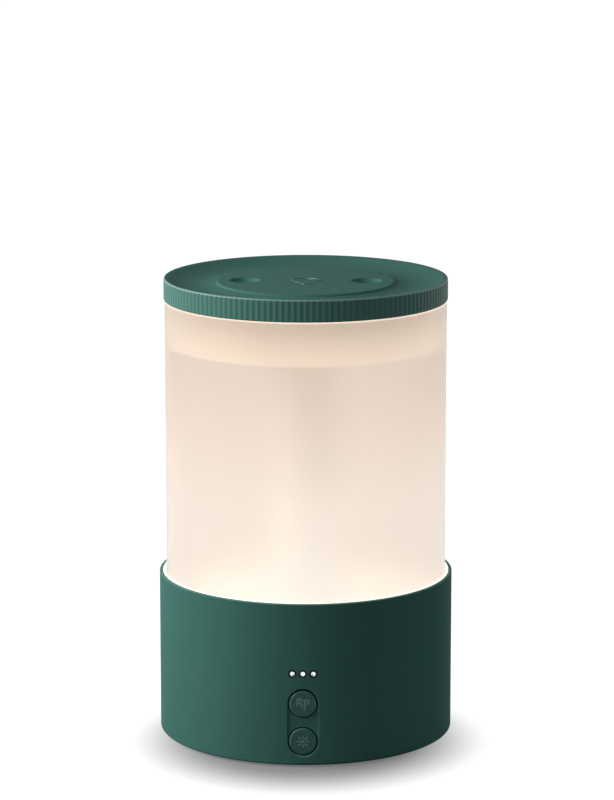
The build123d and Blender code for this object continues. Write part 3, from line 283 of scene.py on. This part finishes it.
def speckled(
    name, colour, size, roughness, depth,
    swing=0.06, wear_and_highlight=None, polished=None, coat=0.0, sheen=0.5,
):
    """Moulded plastic or rubber: broad tone drift, fine grain and uneven gloss.
    Wear and highlight gives a mask and its colour, for worn edges and for painted highlights,
    and polished a mask of the clear gloss."""
    drift_size = 38 * mm
    patch_size = 3 * mm
    clear = {"Coat Weight": coat, "Coat Roughness": 0.2, "Specular IOR Level": sheen}
    paint = Paint(name, clear)
    drift = paint.noise(drift_size, 3.0)
    grain = paint.noise(size, 2.0)
    tone = paint.mix(drift, toned(colour, 1 - swing), toned(colour, 1 + swing))
    tone = paint.mix(grain * 0.5, tone, toned(colour, 1 - 2 * swing))
    gloss = grain * 0.16 + drift * 0.08 + (roughness - 0.12)
    if wear_and_highlight:
        mask = wear_and_highlight[0](paint) * (0.6 + 0.4 * paint.noise(patch_size, 3.0))
        tone = paint.mix(mask, tone, wear_and_highlight[1])
        gloss = gloss - mask * 0.14
    if polished:
        paint.set({"Coat Weight": polished(paint) * (0.8 + 0.2 * drift)})
    paint.set({"Base Color": tone, "Roughness": gloss})
    return paint.bump(grain, depth)


def metal(name, colour, roughness, pitch):
    """Bare metal with fine drawn lines and faint stains."""
    drawn = (1, 1, 0.04)
    stain_size = 6 * mm
    line_depth = 0.012 * mm
    paint = Paint(name, {"Metallic": 1.0})
    lines = paint.noise(pitch, 3.0, drawn)
    stain = paint.noise(stain_size, 4.0)
    paint.set({
        "Base Color": paint.mix(stain, toned(colour, 0.82), colour),
        "Roughness": lines * 0.2 + stain * 0.12 + roughness,
    })
    return paint.bump(lines, line_depth)


def ring(paint, at, half, reach):
    """Thin line round an upright slot in the front: its middle height,
    half its straight run and its radius."""
    inner_fade = 0.2 * mm
    outer_start = 0.2 * mm
    outer_end = 0.45 * mm
    run = paint.axis("Z") - at
    past = run.math("MAXIMUM", run.math("ABSOLUTE", run) - half, 0)
    across = paint.axis("X")
    gap = run.math("SQRT", across * across + past * past)
    inside = gap.ramp(reach - inner_fade, reach)
    return inside * (1 - gap.ramp(reach + outer_start, reach + outer_end))


def base_wear_and_highlight(paint):
    """Worn rim and foot edge of the housing, and painted highlights on the edges round its
    controls.
    """
    edge_fade = 0.7 * mm
    edge_full = 0.1 * mm
    foot_fade = 1.0 * mm
    front_full = -68 * mm
    front_end = -66 * mm
    z = paint.axis("Z")
    outside = paint.reach().ramp(base_radius - edge_fade, base_radius - edge_full)
    rim = z.ramp(base_high.z - edge_fade, base_high.z)
    foot = 1 - z.ramp(base_low.z, base_low.z + foot_fade)
    front = 1 - paint.axis("Y").ramp(front_full, front_end)
    holes = sum(ring(paint, at, 0, button_hole) for at in (mist_z, light_z))
    recess = ring(paint, (mist_z + light_z) / 2, (mist_z - light_z) / 2, recess_half)
    return rim * 0.5 + foot * outside * 0.35 + front * (holes + recess) * 0.5


def button_edge_highlight(paint):
    """Painted highlight on the rounded edges of the two buttons, where the clear coat lies too.
    """
    return sum(ring(paint, at, 0, button_corner) for at in (mist_z, light_z)) * 0.45


def rim_corner(paint):
    """Rounded top corner of the lid's rim."""
    fade = 1.0 * mm
    full = 0.6 * mm
    outside = paint.reach().ramp(lid_radius - fade, lid_radius - full)
    return outside * paint.axis("Z").ramp(lid_high.z - fade, lid_high.z - full)


def rib_highlight(paint):
    """Painted highlight: lighter crests of the ribs and a lighter top corner of the lid's rim.
    """
    crest_depth = 0.22 * mm
    crest = paint.reach().ramp(lid_radius - crest_depth, lid_radius)
    return crest * 0.06 + rim_corner(paint) * 0.7


def rim_gloss(paint):
    """Side and top corner of the lid, smoother than its top from handling."""
    fade = 0.6 * mm
    full = 0.3 * mm
    side = paint.reach().ramp(lid_radius - fade, lid_radius - full)
    return side * 0.18 + rim_corner(paint) * 0.55


def frosted():
    """Translucent tank wall with a painted glow, brighter low down, that stands in for the night
    light, and a painted pale line along its top edge.
    """
    cloud_size = 30 * mm
    frost_size = 0.5 * mm
    frost_depth = 0.02 * mm
    brim_fade = 1.0 * mm
    brim_full = 0.4 * mm
    glow_start = basin_high.z - 2 * mm
    clear = {"Transmission Weight": 0.95, "IOR": 1.2, "Emission Strength": 1.0}
    paint = Paint("frosted_tank", clear)
    cloud = paint.noise(cloud_size, 3.0)
    frost = paint.noise(frost_size, 2.0)
    height = paint.axis("Z")
    # Painted highlight: a pale line along the top edge of the wall, under the lid
    brim = height.ramp(tank_high.z - brim_fade, tank_high.z - brim_full)
    level = height.ramp(glow_start, tank_high.z) + (cloud - 0.5) * 0.06
    glow = paint.stops(
        level,
        (0.0, shade(111, 112, 111)),
        (0.3, shade(113, 110, 107)),
        (0.65, shade(106, 101, 97)),
        (1.0, shade(95, 90, 86)),
    )
    paint.set({
        "Base Color": paint.mix(cloud, shade(213, 204, 196), shade(219, 210, 202)),
        "Emission Color": paint.mix(brim, glow, shade(176, 166, 154)),
        "Roughness": 0.5 + 0.14 * frost,
    })
    return paint.bump(frost, frost_depth)


def glowing(name, low, high, low_glow, high_glow, colour):
    """White plastic with a painted glow that stands in for the night light, its glow given at a
    low and a high level.
    """
    grain_size = 0.6 * mm
    grain_depth = 0.012 * mm
    drift_size = 26 * mm
    paint = Paint(name, {"Emission Strength": 1.0})
    grain = paint.noise(grain_size, 2.0)
    drift = paint.noise(drift_size, 3.0)
    level = paint.axis("Z").ramp(low, high)
    paint.set({
        "Base Color": paint.mix(drift, toned(colour, 0.94), colour),
        "Emission Color": paint.mix(level, low_glow, high_glow),
        "Roughness": 0.36 + 0.14 * grain,
    })
    return paint.bump(grain, grain_depth)


def lens():
    """Indicator lenses, lit from the board behind: a bright core, a dim edge
    and, in the outer two, a dim corner."""
    core_radius = 0.8 * mm
    edge_radius = 1.3 * mm
    corner_x = lens_pitch - 0.45 * mm
    corner_z = lens_z - 0.6 * mm
    corner_core = 0.3 * mm
    corner_radius = 0.8 * mm
    spark_size = 1.2 * mm
    spark_depth = 0.02 * mm
    paint = Paint("indicator_lens", {"Emission Strength": 1.0, "Coat Weight": 0.4})
    spark = paint.noise(spark_size, 2.0)
    flat = paint.vector("MULTIPLY", paint.place, (1, 0, 1))

    def nearest(places):
        """Distance from the nearest of some places on the front."""
        near = None
        for x, z in places:
            gap = paint.vector("DISTANCE", flat, (x, 0, z), output="Value")
            near = gap.math("MINIMUM", near, gap) if near else gap
        return near

    middles = [(x, lens_z) for x in (-lens_pitch, 0, lens_pitch)]
    corners = [(-corner_x, corner_z), (corner_x, corner_z)]
    edge = nearest(middles).ramp(core_radius, edge_radius)
    corner = 1 - nearest(corners).ramp(corner_core, corner_radius)
    dim = edge.math("MAXIMUM", edge, corner * 0.85)
    core = paint.mix(spark, shade(226, 236, 255), shade(252, 254, 255))
    lit = paint.mix(spark, shade(150, 168, 190), shade(182, 198, 216))
    # The dim edge and corners darken the base colour too: painted shade at each lens's edge and
    # in the lower corners of the outer two
    paint.set({
        "Base Color": paint.mix(dim, lit, shade(20, 26, 40)),
        "Emission Color": paint.mix(dim, core, shade(12, 20, 46)),
        "Roughness": 0.12 + 0.1 * spark,
    })
    return paint.bump(spark, spark_depth)


def board():
    """Lacquered circuit board with copper tracks under the lacquer."""
    track_pitch = 3.2 * mm
    track_depth = 0.03 * mm
    track_core = 0.05  # in shares of the pitch
    track_edge = 0.08
    grain_size = 0.5 * mm
    paint = Paint("circuit_board", {"Coat Weight": 0.4})
    tracks = paint.cells(track_pitch, "DISTANCE_TO_EDGE").ramp(track_core, track_edge)
    grain = paint.noise(grain_size, 2.0)
    tone = paint.mix(tracks, shade(52, 128, 78), shade(20, 78, 46))
    paint.set({
        "Base Color": paint.mix(grain * 0.2, tone, shade(14, 50, 32)),
        "Roughness": 0.3 + 0.15 * grain,
    })
    return paint.bump(tracks, track_depth)


def winding():
    """Enamelled copper wire laid turn by turn."""
    turn_pitch = 0.6 * mm
    turn_depth = 0.15 * mm
    stain_size = 4 * mm
    paint = Paint("enamelled_copper", {"Metallic": 1.0, "Coat Weight": 0.5})
    turns = paint.bands(turn_pitch, 0.4)
    stain = paint.noise(stain_size, 3.0)
    tone = paint.mix(turns, shade(110, 52, 28), shade(204, 118, 74))
    paint.set({
        "Base Color": paint.mix(stain * 0.3, tone, shade(90, 42, 26)),
        "Roughness": 0.26 + 0.14 * stain,
    })
    return paint.bump(turns, turn_depth)


def foam():
    """Open-cell foam."""
    pore_size = 0.9 * mm
    pore_depth = 0.5 * mm
    tone_size = 5 * mm
    paint = Paint("open_foam")
    pores = paint.cells(pore_size)
    tone = paint.noise(tone_size, 3.0)
    colour = paint.mix(tone, shade(38, 40, 42), shade(62, 64, 66))
    paint.set({
        "Base Color": paint.mix(pores, shade(14, 15, 16), colour),
        "Roughness": 0.85 + 0.1 * tone,
    })
    return paint.bump(pores, pore_depth)


plastic_green = shade(76, 125, 116)
# Lighter green for worn edges of the base and for painted highlights round the controls and on
# the buttons
green_wear_and_highlight = shade(120, 168, 152)
# Painted highlight colour for the lid's rib crests and rim corner
rim_highlight = shade(172, 208, 196)
# The basin's lip below carries a painted glow
lip_glow = 5 * mm  # height of the lit lip of the basin
paints = {
    "base_green": speckled(
        "base_green", plastic_green, 0.55 * mm, 0.65, 0.03 * mm,
        wear_and_highlight=(base_wear_and_highlight, green_wear_and_highlight), sheen=0.02,
    ),
    # The lid's green is a lighter copy of the base's green, painted light that stands in for the
    # brighter light on its ribs
    "lid_green": speckled(
        "lid_green", toned(plastic_green, 1.08), 0.55 * mm, 0.45, 0.03 * mm,
        wear_and_highlight=(rib_highlight, rim_highlight), polished=rim_gloss, sheen=0.06,
    ),
    "button_green": speckled(
        "button_green", toned(plastic_green, 0.8), 0.4 * mm, 0.42, 0.02 * mm,
        wear_and_highlight=(button_edge_highlight, green_wear_and_highlight), polished=button_edge_highlight, sheen=0.1,
    ),
    "drop_green": speckled(
        "drop_green", toned(plastic_green, 1.08), 0.4 * mm, 0.35, 0.015 * mm, coat=0.9, sheen=0.3
    ),
    "ink": speckled(
        "sign_ink", shade(128, 162, 155), 0.25 * mm, 0.6, 0.01 * mm, 0.08, sheen=0.1
    ),
    "collar": speckled(
        "painted_shade_collar", shade(20, 27, 34), 0.4 * mm, 0.55, 0.02 * mm, sheen=0.1
    ),
    "dark_moulding": speckled(
        "dark_moulding", shade(44, 48, 48), 0.6 * mm, 0.55, 0.03 * mm
    ),
    "white_moulding": speckled(
        "white_moulding", shade(232, 230, 224), 0.6 * mm, 0.45, 0.02 * mm, 0.03
    ),
    "frosted": frosted(),
    "basin_glow": glowing(
        "basin_glow", basin_high.z - lip_glow, basin_high.z,
        shade(98, 91, 82), shade(255, 248, 236), shade(210, 205, 197),
    ),
    "liner_glow": glowing(
        "liner_glow", liner_low.z, liner_high.z,
        shade(229, 219, 202), shade(162, 149, 138), shade(160, 152, 142),
    ),
    "tube_glow": glowing(
        "tube_glow", tank_low.z, tank_high.z,
        shade(196, 200, 199), shade(126, 119, 117), shade(206, 200, 192),
    ),
    "floor_glow": glowing(
        "floor_glow", floor_low.z, floor_high.z,
        shade(226, 223, 216), shade(230, 227, 220), shade(214, 208, 200),
    ),
    "lens": lens(),
    "clear": speckled(
        "led_dome", shade(236, 240, 240), 0.5 * mm, 0.2, 0.01 * mm, 0.03, coat=0.5
    ),
    "rubber": speckled("foot_rubber", shade(40, 40, 41), 0.8 * mm, 0.78, 0.05 * mm),
    "silicone": speckled("silicone", shade(214, 212, 206), 0.9 * mm, 0.6, 0.02 * mm, 0.03),
    "steel": metal("plated_steel", shade(196, 198, 202), 0.24, 0.3 * mm),
    "aluminium": metal("brushed_aluminium", shade(206, 208, 212), 0.3, 0.25 * mm),
    "brass": metal("turned_brass", shade(206, 170, 98), 0.24, 0.25 * mm),
    "magnet": metal("sintered_magnet", shade(98, 98, 102), 0.42, 0.5 * mm),
    "ceramic": speckled(
        "disc_ceramic", shade(222, 214, 190), 0.4 * mm, 0.3, 0.01 * mm, coat=0.4
    ),
    "board": board(),
    "copper": winding(),
    "foam": foam(),
    "leads": speckled("lead_sleeve", shade(168, 34, 30), 0.6 * mm, 0.4, 0.015 * mm),
    "sleeve": speckled("capacitor_sleeve", shade(34, 40, 70), 0.6 * mm, 0.34, 0.015 * mm),
}

# Finish of every node of the frame
finishes = {
    "base_green": ["base_shell"],
    "button_green": ["mist_button", "light_button"],
    "lid_green": ["lid_cap", "left_outlet", "right_outlet"],
    "frosted": ["tank_wall"],
    "floor_glow": ["tank_floor"],
    "basin_glow": ["water_basin"],
    "liner_glow": ["lid_liner", "lid_seal"],
    "tube_glow": ["mist_tube", "tube_lock_ring", "valve_guide", "valve_plunger"],
    "lens": ["indicator_lenses"],
    "clear": ["light_leds", "indicator_leds"],
    "dark_moulding": [
        "bottom_cover", "level_sensor", "fan_frame", "tact_switches", "power_inlet",
        "fan_rotor", "mist_switch_plunger", "light_switch_plunger",
    ],
    "white_moulding": ["float_clip", "air_duct", "driver_connectors", "float_body"],
    "rubber": ["foot_pads"],
    "silicone": ["transducer_seal", "tube_seal", "valve_seal"],
    "steel": [
        "bottom_screws", "transducer_screws", "light_board_screws", "fan_stator",
        "fan_screws", "driver_screws", "button_board_screws", "fan_shaft", "valve_spring",
        "lid_screws",
    ],
    "aluminium": ["transducer_clamp", "driver_heatsink"],
    "brass": ["fan_bearing", "inlet_pin", "inlet_nut"],
    "magnet": ["fan_magnet", "float_magnet"],
    "ceramic": ["transducer_disc"],
    "board": ["light_board", "driver_board", "button_board"],
    "copper": ["driver_coil"],
    "foam": ["intake_filter", "fan_gasket"],
    "leads": ["internal_leads"],
    "sleeve": ["driver_capacitors"],
}
for finish, names in finishes.items():
    for name in names:
        nodes[name].data.materials.clear()
        nodes[name].data.materials.append(paints[finish].material)


def placed(name, data):
    """A new object in the scene."""
    made = bpy.data.objects.new(name, data)
    scene.collection.objects.link(made)
    return made


def piece(name, mesh, finish, body):
    """A finished mesh as a piece that rides on a body."""
    made = placed(name, mesh)
    mesh.materials.clear()
    mesh.materials.append(paints[finish].material)
    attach(made, body)
    return made


def made_mesh(shape, name):
    """Mesh of a bmesh, which is used up."""
    mesh = bpy.data.meshes.new(name)
    shape.to_mesh(mesh)
    shape.free()
    return mesh


def evaluated(made):
    """Mesh of an object with its modifiers or its bevel."""
    bpy.context.view_layer.update()
    graph = bpy.context.evaluated_depsgraph_get()
    return bpy.data.meshes.new_from_object(made.evaluated_get(graph))


def arc(centre, radius, start, end, steps):
    """Points on an arc of a profile, with angles in degrees."""
    angles = [math.radians(start + (end - start) * i / steps) for i in range(steps + 1)]
    across, up = centre
    return [(across + radius * math.cos(a), up + radius * math.sin(a)) for a in angles]


def turned(profile, steps, depth=None):
    """Mesh turned from an open profile of radius and height, from the axis round to the
    axis again. The depth, if given, is taken off the radius at each profile point and angle."""
    shape = bmesh.new()
    loops = []
    for i, (radius, height) in enumerate(profile):
        if radius < 1e-9:
            loops.append([shape.verts.new((0, 0, height))])
            continue
        loop = []
        for k in range(steps):
            angle = 2 * math.pi * k / steps
            r = radius - (depth(i, angle) if depth else 0)
            loop.append(shape.verts.new((r * math.cos(angle), r * math.sin(angle), height)))
        loops.append(loop)
    for low, high in zip(loops, loops[1:]):
        for k in range(steps):
            lower = [low[k % len(low)], low[(k + 1) % len(low)]]
            upper = [high[(k + 1) % len(high)], high[k % len(high)]]
            shape.faces.new(list(dict.fromkeys(lower + upper)))
    bmesh.ops.recalc_face_normals(shape, faces=shape.faces)
    return made_mesh(shape, "turned")


def round_bar(centre, radius, low, high, steps=64):
    """Closed round bar, for cutting and for bosses."""
    mesh = turned([(0, low), (radius, low), (radius, high), (0, high)], steps)
    # A small turn keeps its corners off the edges of what it cuts
    turn = Matrix.Rotation(math.pi / (3 * steps), 4, "Z")
    mesh.transform(Matrix.Translation((centre[0], centre[1], 0)) @ turn)
    return mesh


def combined(mesh, others, operation):
    """A mesh with other meshes cut from it or joined to it."""
    host = placed("host", mesh)
    tools = []
    for other in others:
        tool = placed("tool", other)
        tools.append(tool)
        step = host.modifiers.new("step", "BOOLEAN")
        step.operation = operation
        step.solver = "EXACT"
        step.object = tool
    made = evaluated(host)
    for spare in [host, *tools]:
        bpy.data.objects.remove(spare)
    return made


def smoothed(mesh, angle=32):
    """Smooth shading, with edges kept where faces meet at more than the angle."""
    mesh.polygons.foreach_set("use_smooth", [True] * len(mesh.polygons))
    mesh.set_sharp_from_angle(angle=math.radians(angle))
    return mesh


def ribbed_lid():
    """Lid cap with rounded rim corners, ribs that run out at both corners, and a dished top."""
    top = lid_high.z
    bottom = tank_high.z
    low = lid_low.z
    disc_top = top - disc_drop
    dish_bottom = disc_top - disc_step
    underside = dish_bottom - lid_plate
    inner = lid_radius - lid_wall
    inner_top = top - rim_underside
    round_centre = lid_radius - rim_round
    dish_edge = disc_edge + disc_slope
    land_inner = lid_radius - rim_land
    dish = []
    for i in range(1, dish_steps):
        share = i / dish_steps
        sag = 4 * dish_sag * share * (1 - share)
        radius = land_inner + (dish_edge - land_inner) * share
        dish.append((radius, top + (dish_bottom - top) * share - sag))
    inside = [
        (0, underside),
        (dish_edge, underside),
        (inner - inner_chamfer, inner_top),
        (inner, inner_top - inner_chamfer),
        (inner, bottom + foot_chamfer),
        (inner + foot_chamfer, bottom),
    ]
    side = arc((round_centre, bottom + rim_round), rim_round, -90, 0, rim_steps)
    side += [(lid_radius, bottom + (top - bottom) * share) for share in (0.2, 0.4, 0.6, 0.8)]
    side += arc((round_centre, top - rim_round), rim_round, 0, 90, rim_steps)
    disc = [
        (dish_edge, dish_bottom),
        (disc_edge + disc_slope / 2, (dish_bottom + disc_top) / 2 + disc_crown),
        (disc_edge, disc_top),
        (disc_edge - disc_land, disc_top),
        (0, disc_top),
    ]
    profile = inside + side + dish + disc

    def groove(i, angle):
        """Depth of the grooves between the ribs."""
        if not len(inside) <= i < len(inside) + len(side):
            return 0.0
        radius, height = profile[i]
        runout = top_runout if height > top - rim_round else bottom_runout
        strength = max(0.0, 1 - (lid_radius - radius) / (runout * rim_round))
        wave = 0.5 - 0.5 * math.cos(rib_count * angle)
        return rib_depth * strength * wave**rib_fullness

    mesh = turned(profile, rib_count * rib_steps, groove)
    hole = outlet_reach + outlet_room
    cutters = [round_bar((x, 0), hole, underside - cut_past, top) for x in (-outlet_x, outlet_x)]
    mesh = combined(mesh, cutters, "DIFFERENCE")
    bosses = []
    for k in range(boss_count):
        angle = math.pi / 4 + 2 * math.pi * k / boss_count
        place = (boss_circle * math.cos(angle), boss_circle * math.sin(angle))
        bar = round_bar(place, boss_radius, low, underside + lid_plate / 2, boss_steps)
        bore = round_bar(place, boss_bore, low - cut_past, low + boss_bore_depth, bore_steps)
        bosses.append(combined(bar, [bore], "DIFFERENCE"))
    return smoothed(combined(mesh, bosses, "UNION"))


lid = piece("ribbed_lid", ribbed_lid(), "lid_green", "lid")
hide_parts("lid_cap")


def line_mesh(paths, width, height, closed=False):
    """Raised line drawn along smooth paths in a plane: local x and y along the plane,
    z out of it. Each path is a list of (x, y, share of the width)."""
    data = bpy.data.curves.new("line", "CURVE")
    data.dimensions = "3D"
    data.bevel_depth = width / 2
    data.bevel_resolution = 3
    data.use_fill_caps = True
    data.resolution_u = 8
    for path in paths:
        spline = data.splines.new("NURBS")
        spline.points.add(len(path) - 1)
        for point, (x, y, share) in zip(spline.points, path):
            point.co = (x, y, 0, 1)
            point.radius = share
        spline.use_cyclic_u = closed
        spline.use_endpoint_u = not closed
        spline.order_u = 4 if len(path) > 3 else len(path)
    drawn = placed("line", data)
    mesh = evaluated(drawn)
    bpy.data.objects.remove(drawn)
    mesh.transform(Matrix.Diagonal((1, 1, 2 * height / width, 1)))
    return smoothed(mesh, 60)


def front_place(z, y):
    """Plane on the front of the base: local x to the right, local y up, local z to the user."""
    return Matrix(((1, 0, 0, 0), (0, 0, -1, y), (0, 1, 0, z), (0, 0, 0, 1)))


def scaled(path):
    """A path in millimetres, in metres."""
    return [(x * mm, y * mm, share) for x, y, share in path]


# Mist sign: a wisp and two curls
left_wisp = [(-2.9, 1.5, 0.8), (-2.6, 2.6, 1), (-1.4, 3.0, 1), (-0.5, 2.1, 1), (0.2, 1.5, 0.8)]
left_curl = [
    (-2.4, -1.0, 0.9), (-3.2, -0.2, 1), (-2.6, 0.9, 1), (-1.2, 1.0, 1), (-0.7, -0.2, 1),
    (-0.6, -1.9, 0.8),
]
right_curl = [
    (1.9, -0.1, 0.8), (3.1, 0.5, 1), (3.0, 2.0, 1), (1.7, 2.4, 1), (0.9, 1.4, 1),
    (0.9, -0.6, 1), (0.9, -3.0, 0.9),
]
mist_strokes = [scaled(path) for path in (left_wisp, left_curl, right_curl)]
mist_mesh = line_mesh(mist_strokes, sign_width, sign_height)
mist_mesh.transform(front_place(mist_z, mist_low.y))
piece("mist_sign", mist_mesh, "ink", "mist_button")

# Light sign: a dot with eight rays
ray = [(1.3, 0.45), (1.8, 0.75), (2.5, 1.0), (3.15, 0.75)]
ray_count = 8
light_strokes = []
for k in range(ray_count):
    angle = 2 * math.pi / ray_count * k + math.pi / 2
    light_strokes.append([
        (r * mm * math.cos(angle), r * mm * math.sin(angle), share) for r, share in ray
    ])
light_strokes.append(scaled([(-0.95, 0, 0.5), (-0.45, 0, 2.1), (0.45, 0, 2.1), (0.95, 0, 0.5)]))
light_mesh = line_mesh(light_strokes, sign_width, sign_height)
light_mesh.transform(front_place(light_z, light_low.y))
piece("light_sign", light_mesh, "ink", "light_button")

# Dark collars round the indicator lenses: dark rings of painted shade, put where the sunk rings
# round the lenses lie in shade
collar_front = lens_low.y + collar_sunk
collar_back = collar_front + collar_depth
collar_profile = [
    (collar_bore, collar_front),
    (collar_radius, collar_front),
    (collar_radius, collar_back),
    (collar_bore, collar_back),
    (collar_bore, collar_front),
]
collars = bmesh.new()
for x in (-lens_pitch, 0, lens_pitch):
    collar = turned(collar_profile, collar_steps)
    collar.transform(
        Matrix.Translation((x, 0, lens_z)) @ Matrix.Rotation(-math.pi / 2, 4, "X")
    )
    collars.from_mesh(collar)
bmesh.ops.remove_doubles(collars, verts=collars.verts, dist=1e-7)
bmesh.ops.recalc_face_normals(collars, faces=collars.faces)
collar_mesh = smoothed(made_mesh(collars, "collars"))
piece("lens_shade_collars", collar_mesh, "collar", "base")

# Drop sign on the lid, its tip towards the user
drop_side = [(2.4, -9.0, 1), (6.0, -4.0, 1), (7.2, 0.5, 1), (5.2, 5.4, 1)]
drop_mirror = [(-x, y, share) for x, y, share in reversed(drop_side)]
drop = [(0, -14.5, 1), *drop_side, (0, 7.6, 1), *drop_mirror]
gleam = [(4.1, 1.2, 1), (3.6, 3.4, 1), (1.8, 4.8, 1), (-0.2, 5.0, 1)]
on_disc = Matrix.Translation((0, 0, lid_high.z - disc_drop))
for name, path, closed in (("drop_sign", drop, True), ("drop_gleam", gleam, False)):
    sign_mesh = line_mesh([scaled(path)], drop_width, drop_height, closed)
    sign_mesh.transform(on_disc)
    piece(name, sign_mesh, "drop_green", "lid")

# Valve spring: a copy of its mesh, fixed in place in the world, stands in for the frame's node,
# which is hidden
coil_spring = placed("coil_spring", nodes["valve_spring"].data.copy())
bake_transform(coil_spring)
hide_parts("valve_spring")

# Floor: seen white by the camera, reflections and glass, with a painted soft shadow round the
# foot where its white lift fades
grid = bmesh.new()
bmesh.ops.create_grid(grid, x_segments=floor_cells, y_segments=floor_cells, size=floor_size)
floor = placed("floor", made_mesh(grid, "floor"))
matt = {"Roughness": 0.9, "Specular IOR Level": 0.1, "Emission Strength": 1.0}
floor_paint = Paint("floor", matt)
seeing = ("Is Camera Ray", "Is Glossy Ray", "Is Transmission Ray")
seen = sum(floor_paint.add("ShaderNodeLightPath", output=kind) for kind in seeing)
# Painted shadow: the white lift fades in an ellipse set off towards the front of the foot, down
# to a least share, so the floor's own lit grey and its real shade show there
shadow = floor_paint.vector("MULTIPLY_ADD", floor_paint.place, shadow_stretch, shadow_offset)
shadow_reach = floor_paint.vector("LENGTH", shadow, output="Value")
past_shadow = shadow_reach.ramp(shadow_inner, shadow_outer)
lift = seen * (shadow_least + (1 - shadow_least) * past_shadow)
floor_drift = floor_paint.noise(floor_patch, 2.0)
floor_paint.set({
    "Base Color": floor_paint.mix(floor_drift, shade(120, 120, 120), shade(126, 126, 126)),
    "Emission Color": floor_paint.mix(lift, black, white),
})
floor.data.materials.append(floor_paint.material)

# Soft studio light
world = bpy.data.worlds.new("studio")
scene.world = world
world.use_nodes = True
sky = world.node_tree.nodes["Background"]
sky.inputs["Color"].default_value = white
sky.inputs["Strength"].default_value = sky_strength


def lamp(name, place, aim, width, height, power):
    """Soft rectangular lamp."""
    data = bpy.data.lights.new(name, "AREA")
    data.shape = "RECTANGLE"
    data.size = width
    data.size_y = height
    data.energy = power
    made = placed(name, data)
    made.location = place
    made.rotation_euler = (Vector(aim) - Vector(place)).to_track_quat("-Z", "Y").to_euler()


key_place = (
    -key_distance * math.cos(key_rise) * math.sin(key_turn),
    -key_distance * math.cos(key_rise) * math.cos(key_turn),
    key_aim + key_distance * math.sin(key_rise),
)
lamp("key", key_place, (0, 0, key_aim), width=0.6, height=0.3, power=4.9)
lamp("right", (1.3, 0.5, 0.6), (0, 0, 0.15), width=0.5, height=0.8, power=1.6)

# Camera
camera_data = bpy.data.cameras.new("camera")
camera_data.lens = camera_lens
camera_data.sensor_width = camera_sensor
camera_data.shift_x = camera_shift
camera = placed("camera", camera_data)
camera.location = (
    camera_distance * math.sin(camera_turn),
    -camera_distance * math.cos(camera_turn),
    camera_height,
)
camera.rotation_euler = (math.pi / 2 - camera_pitch, 0, camera_turn)
scene.camera = camera
bpy.context.scene.view_settings.view_transform = "Standard"
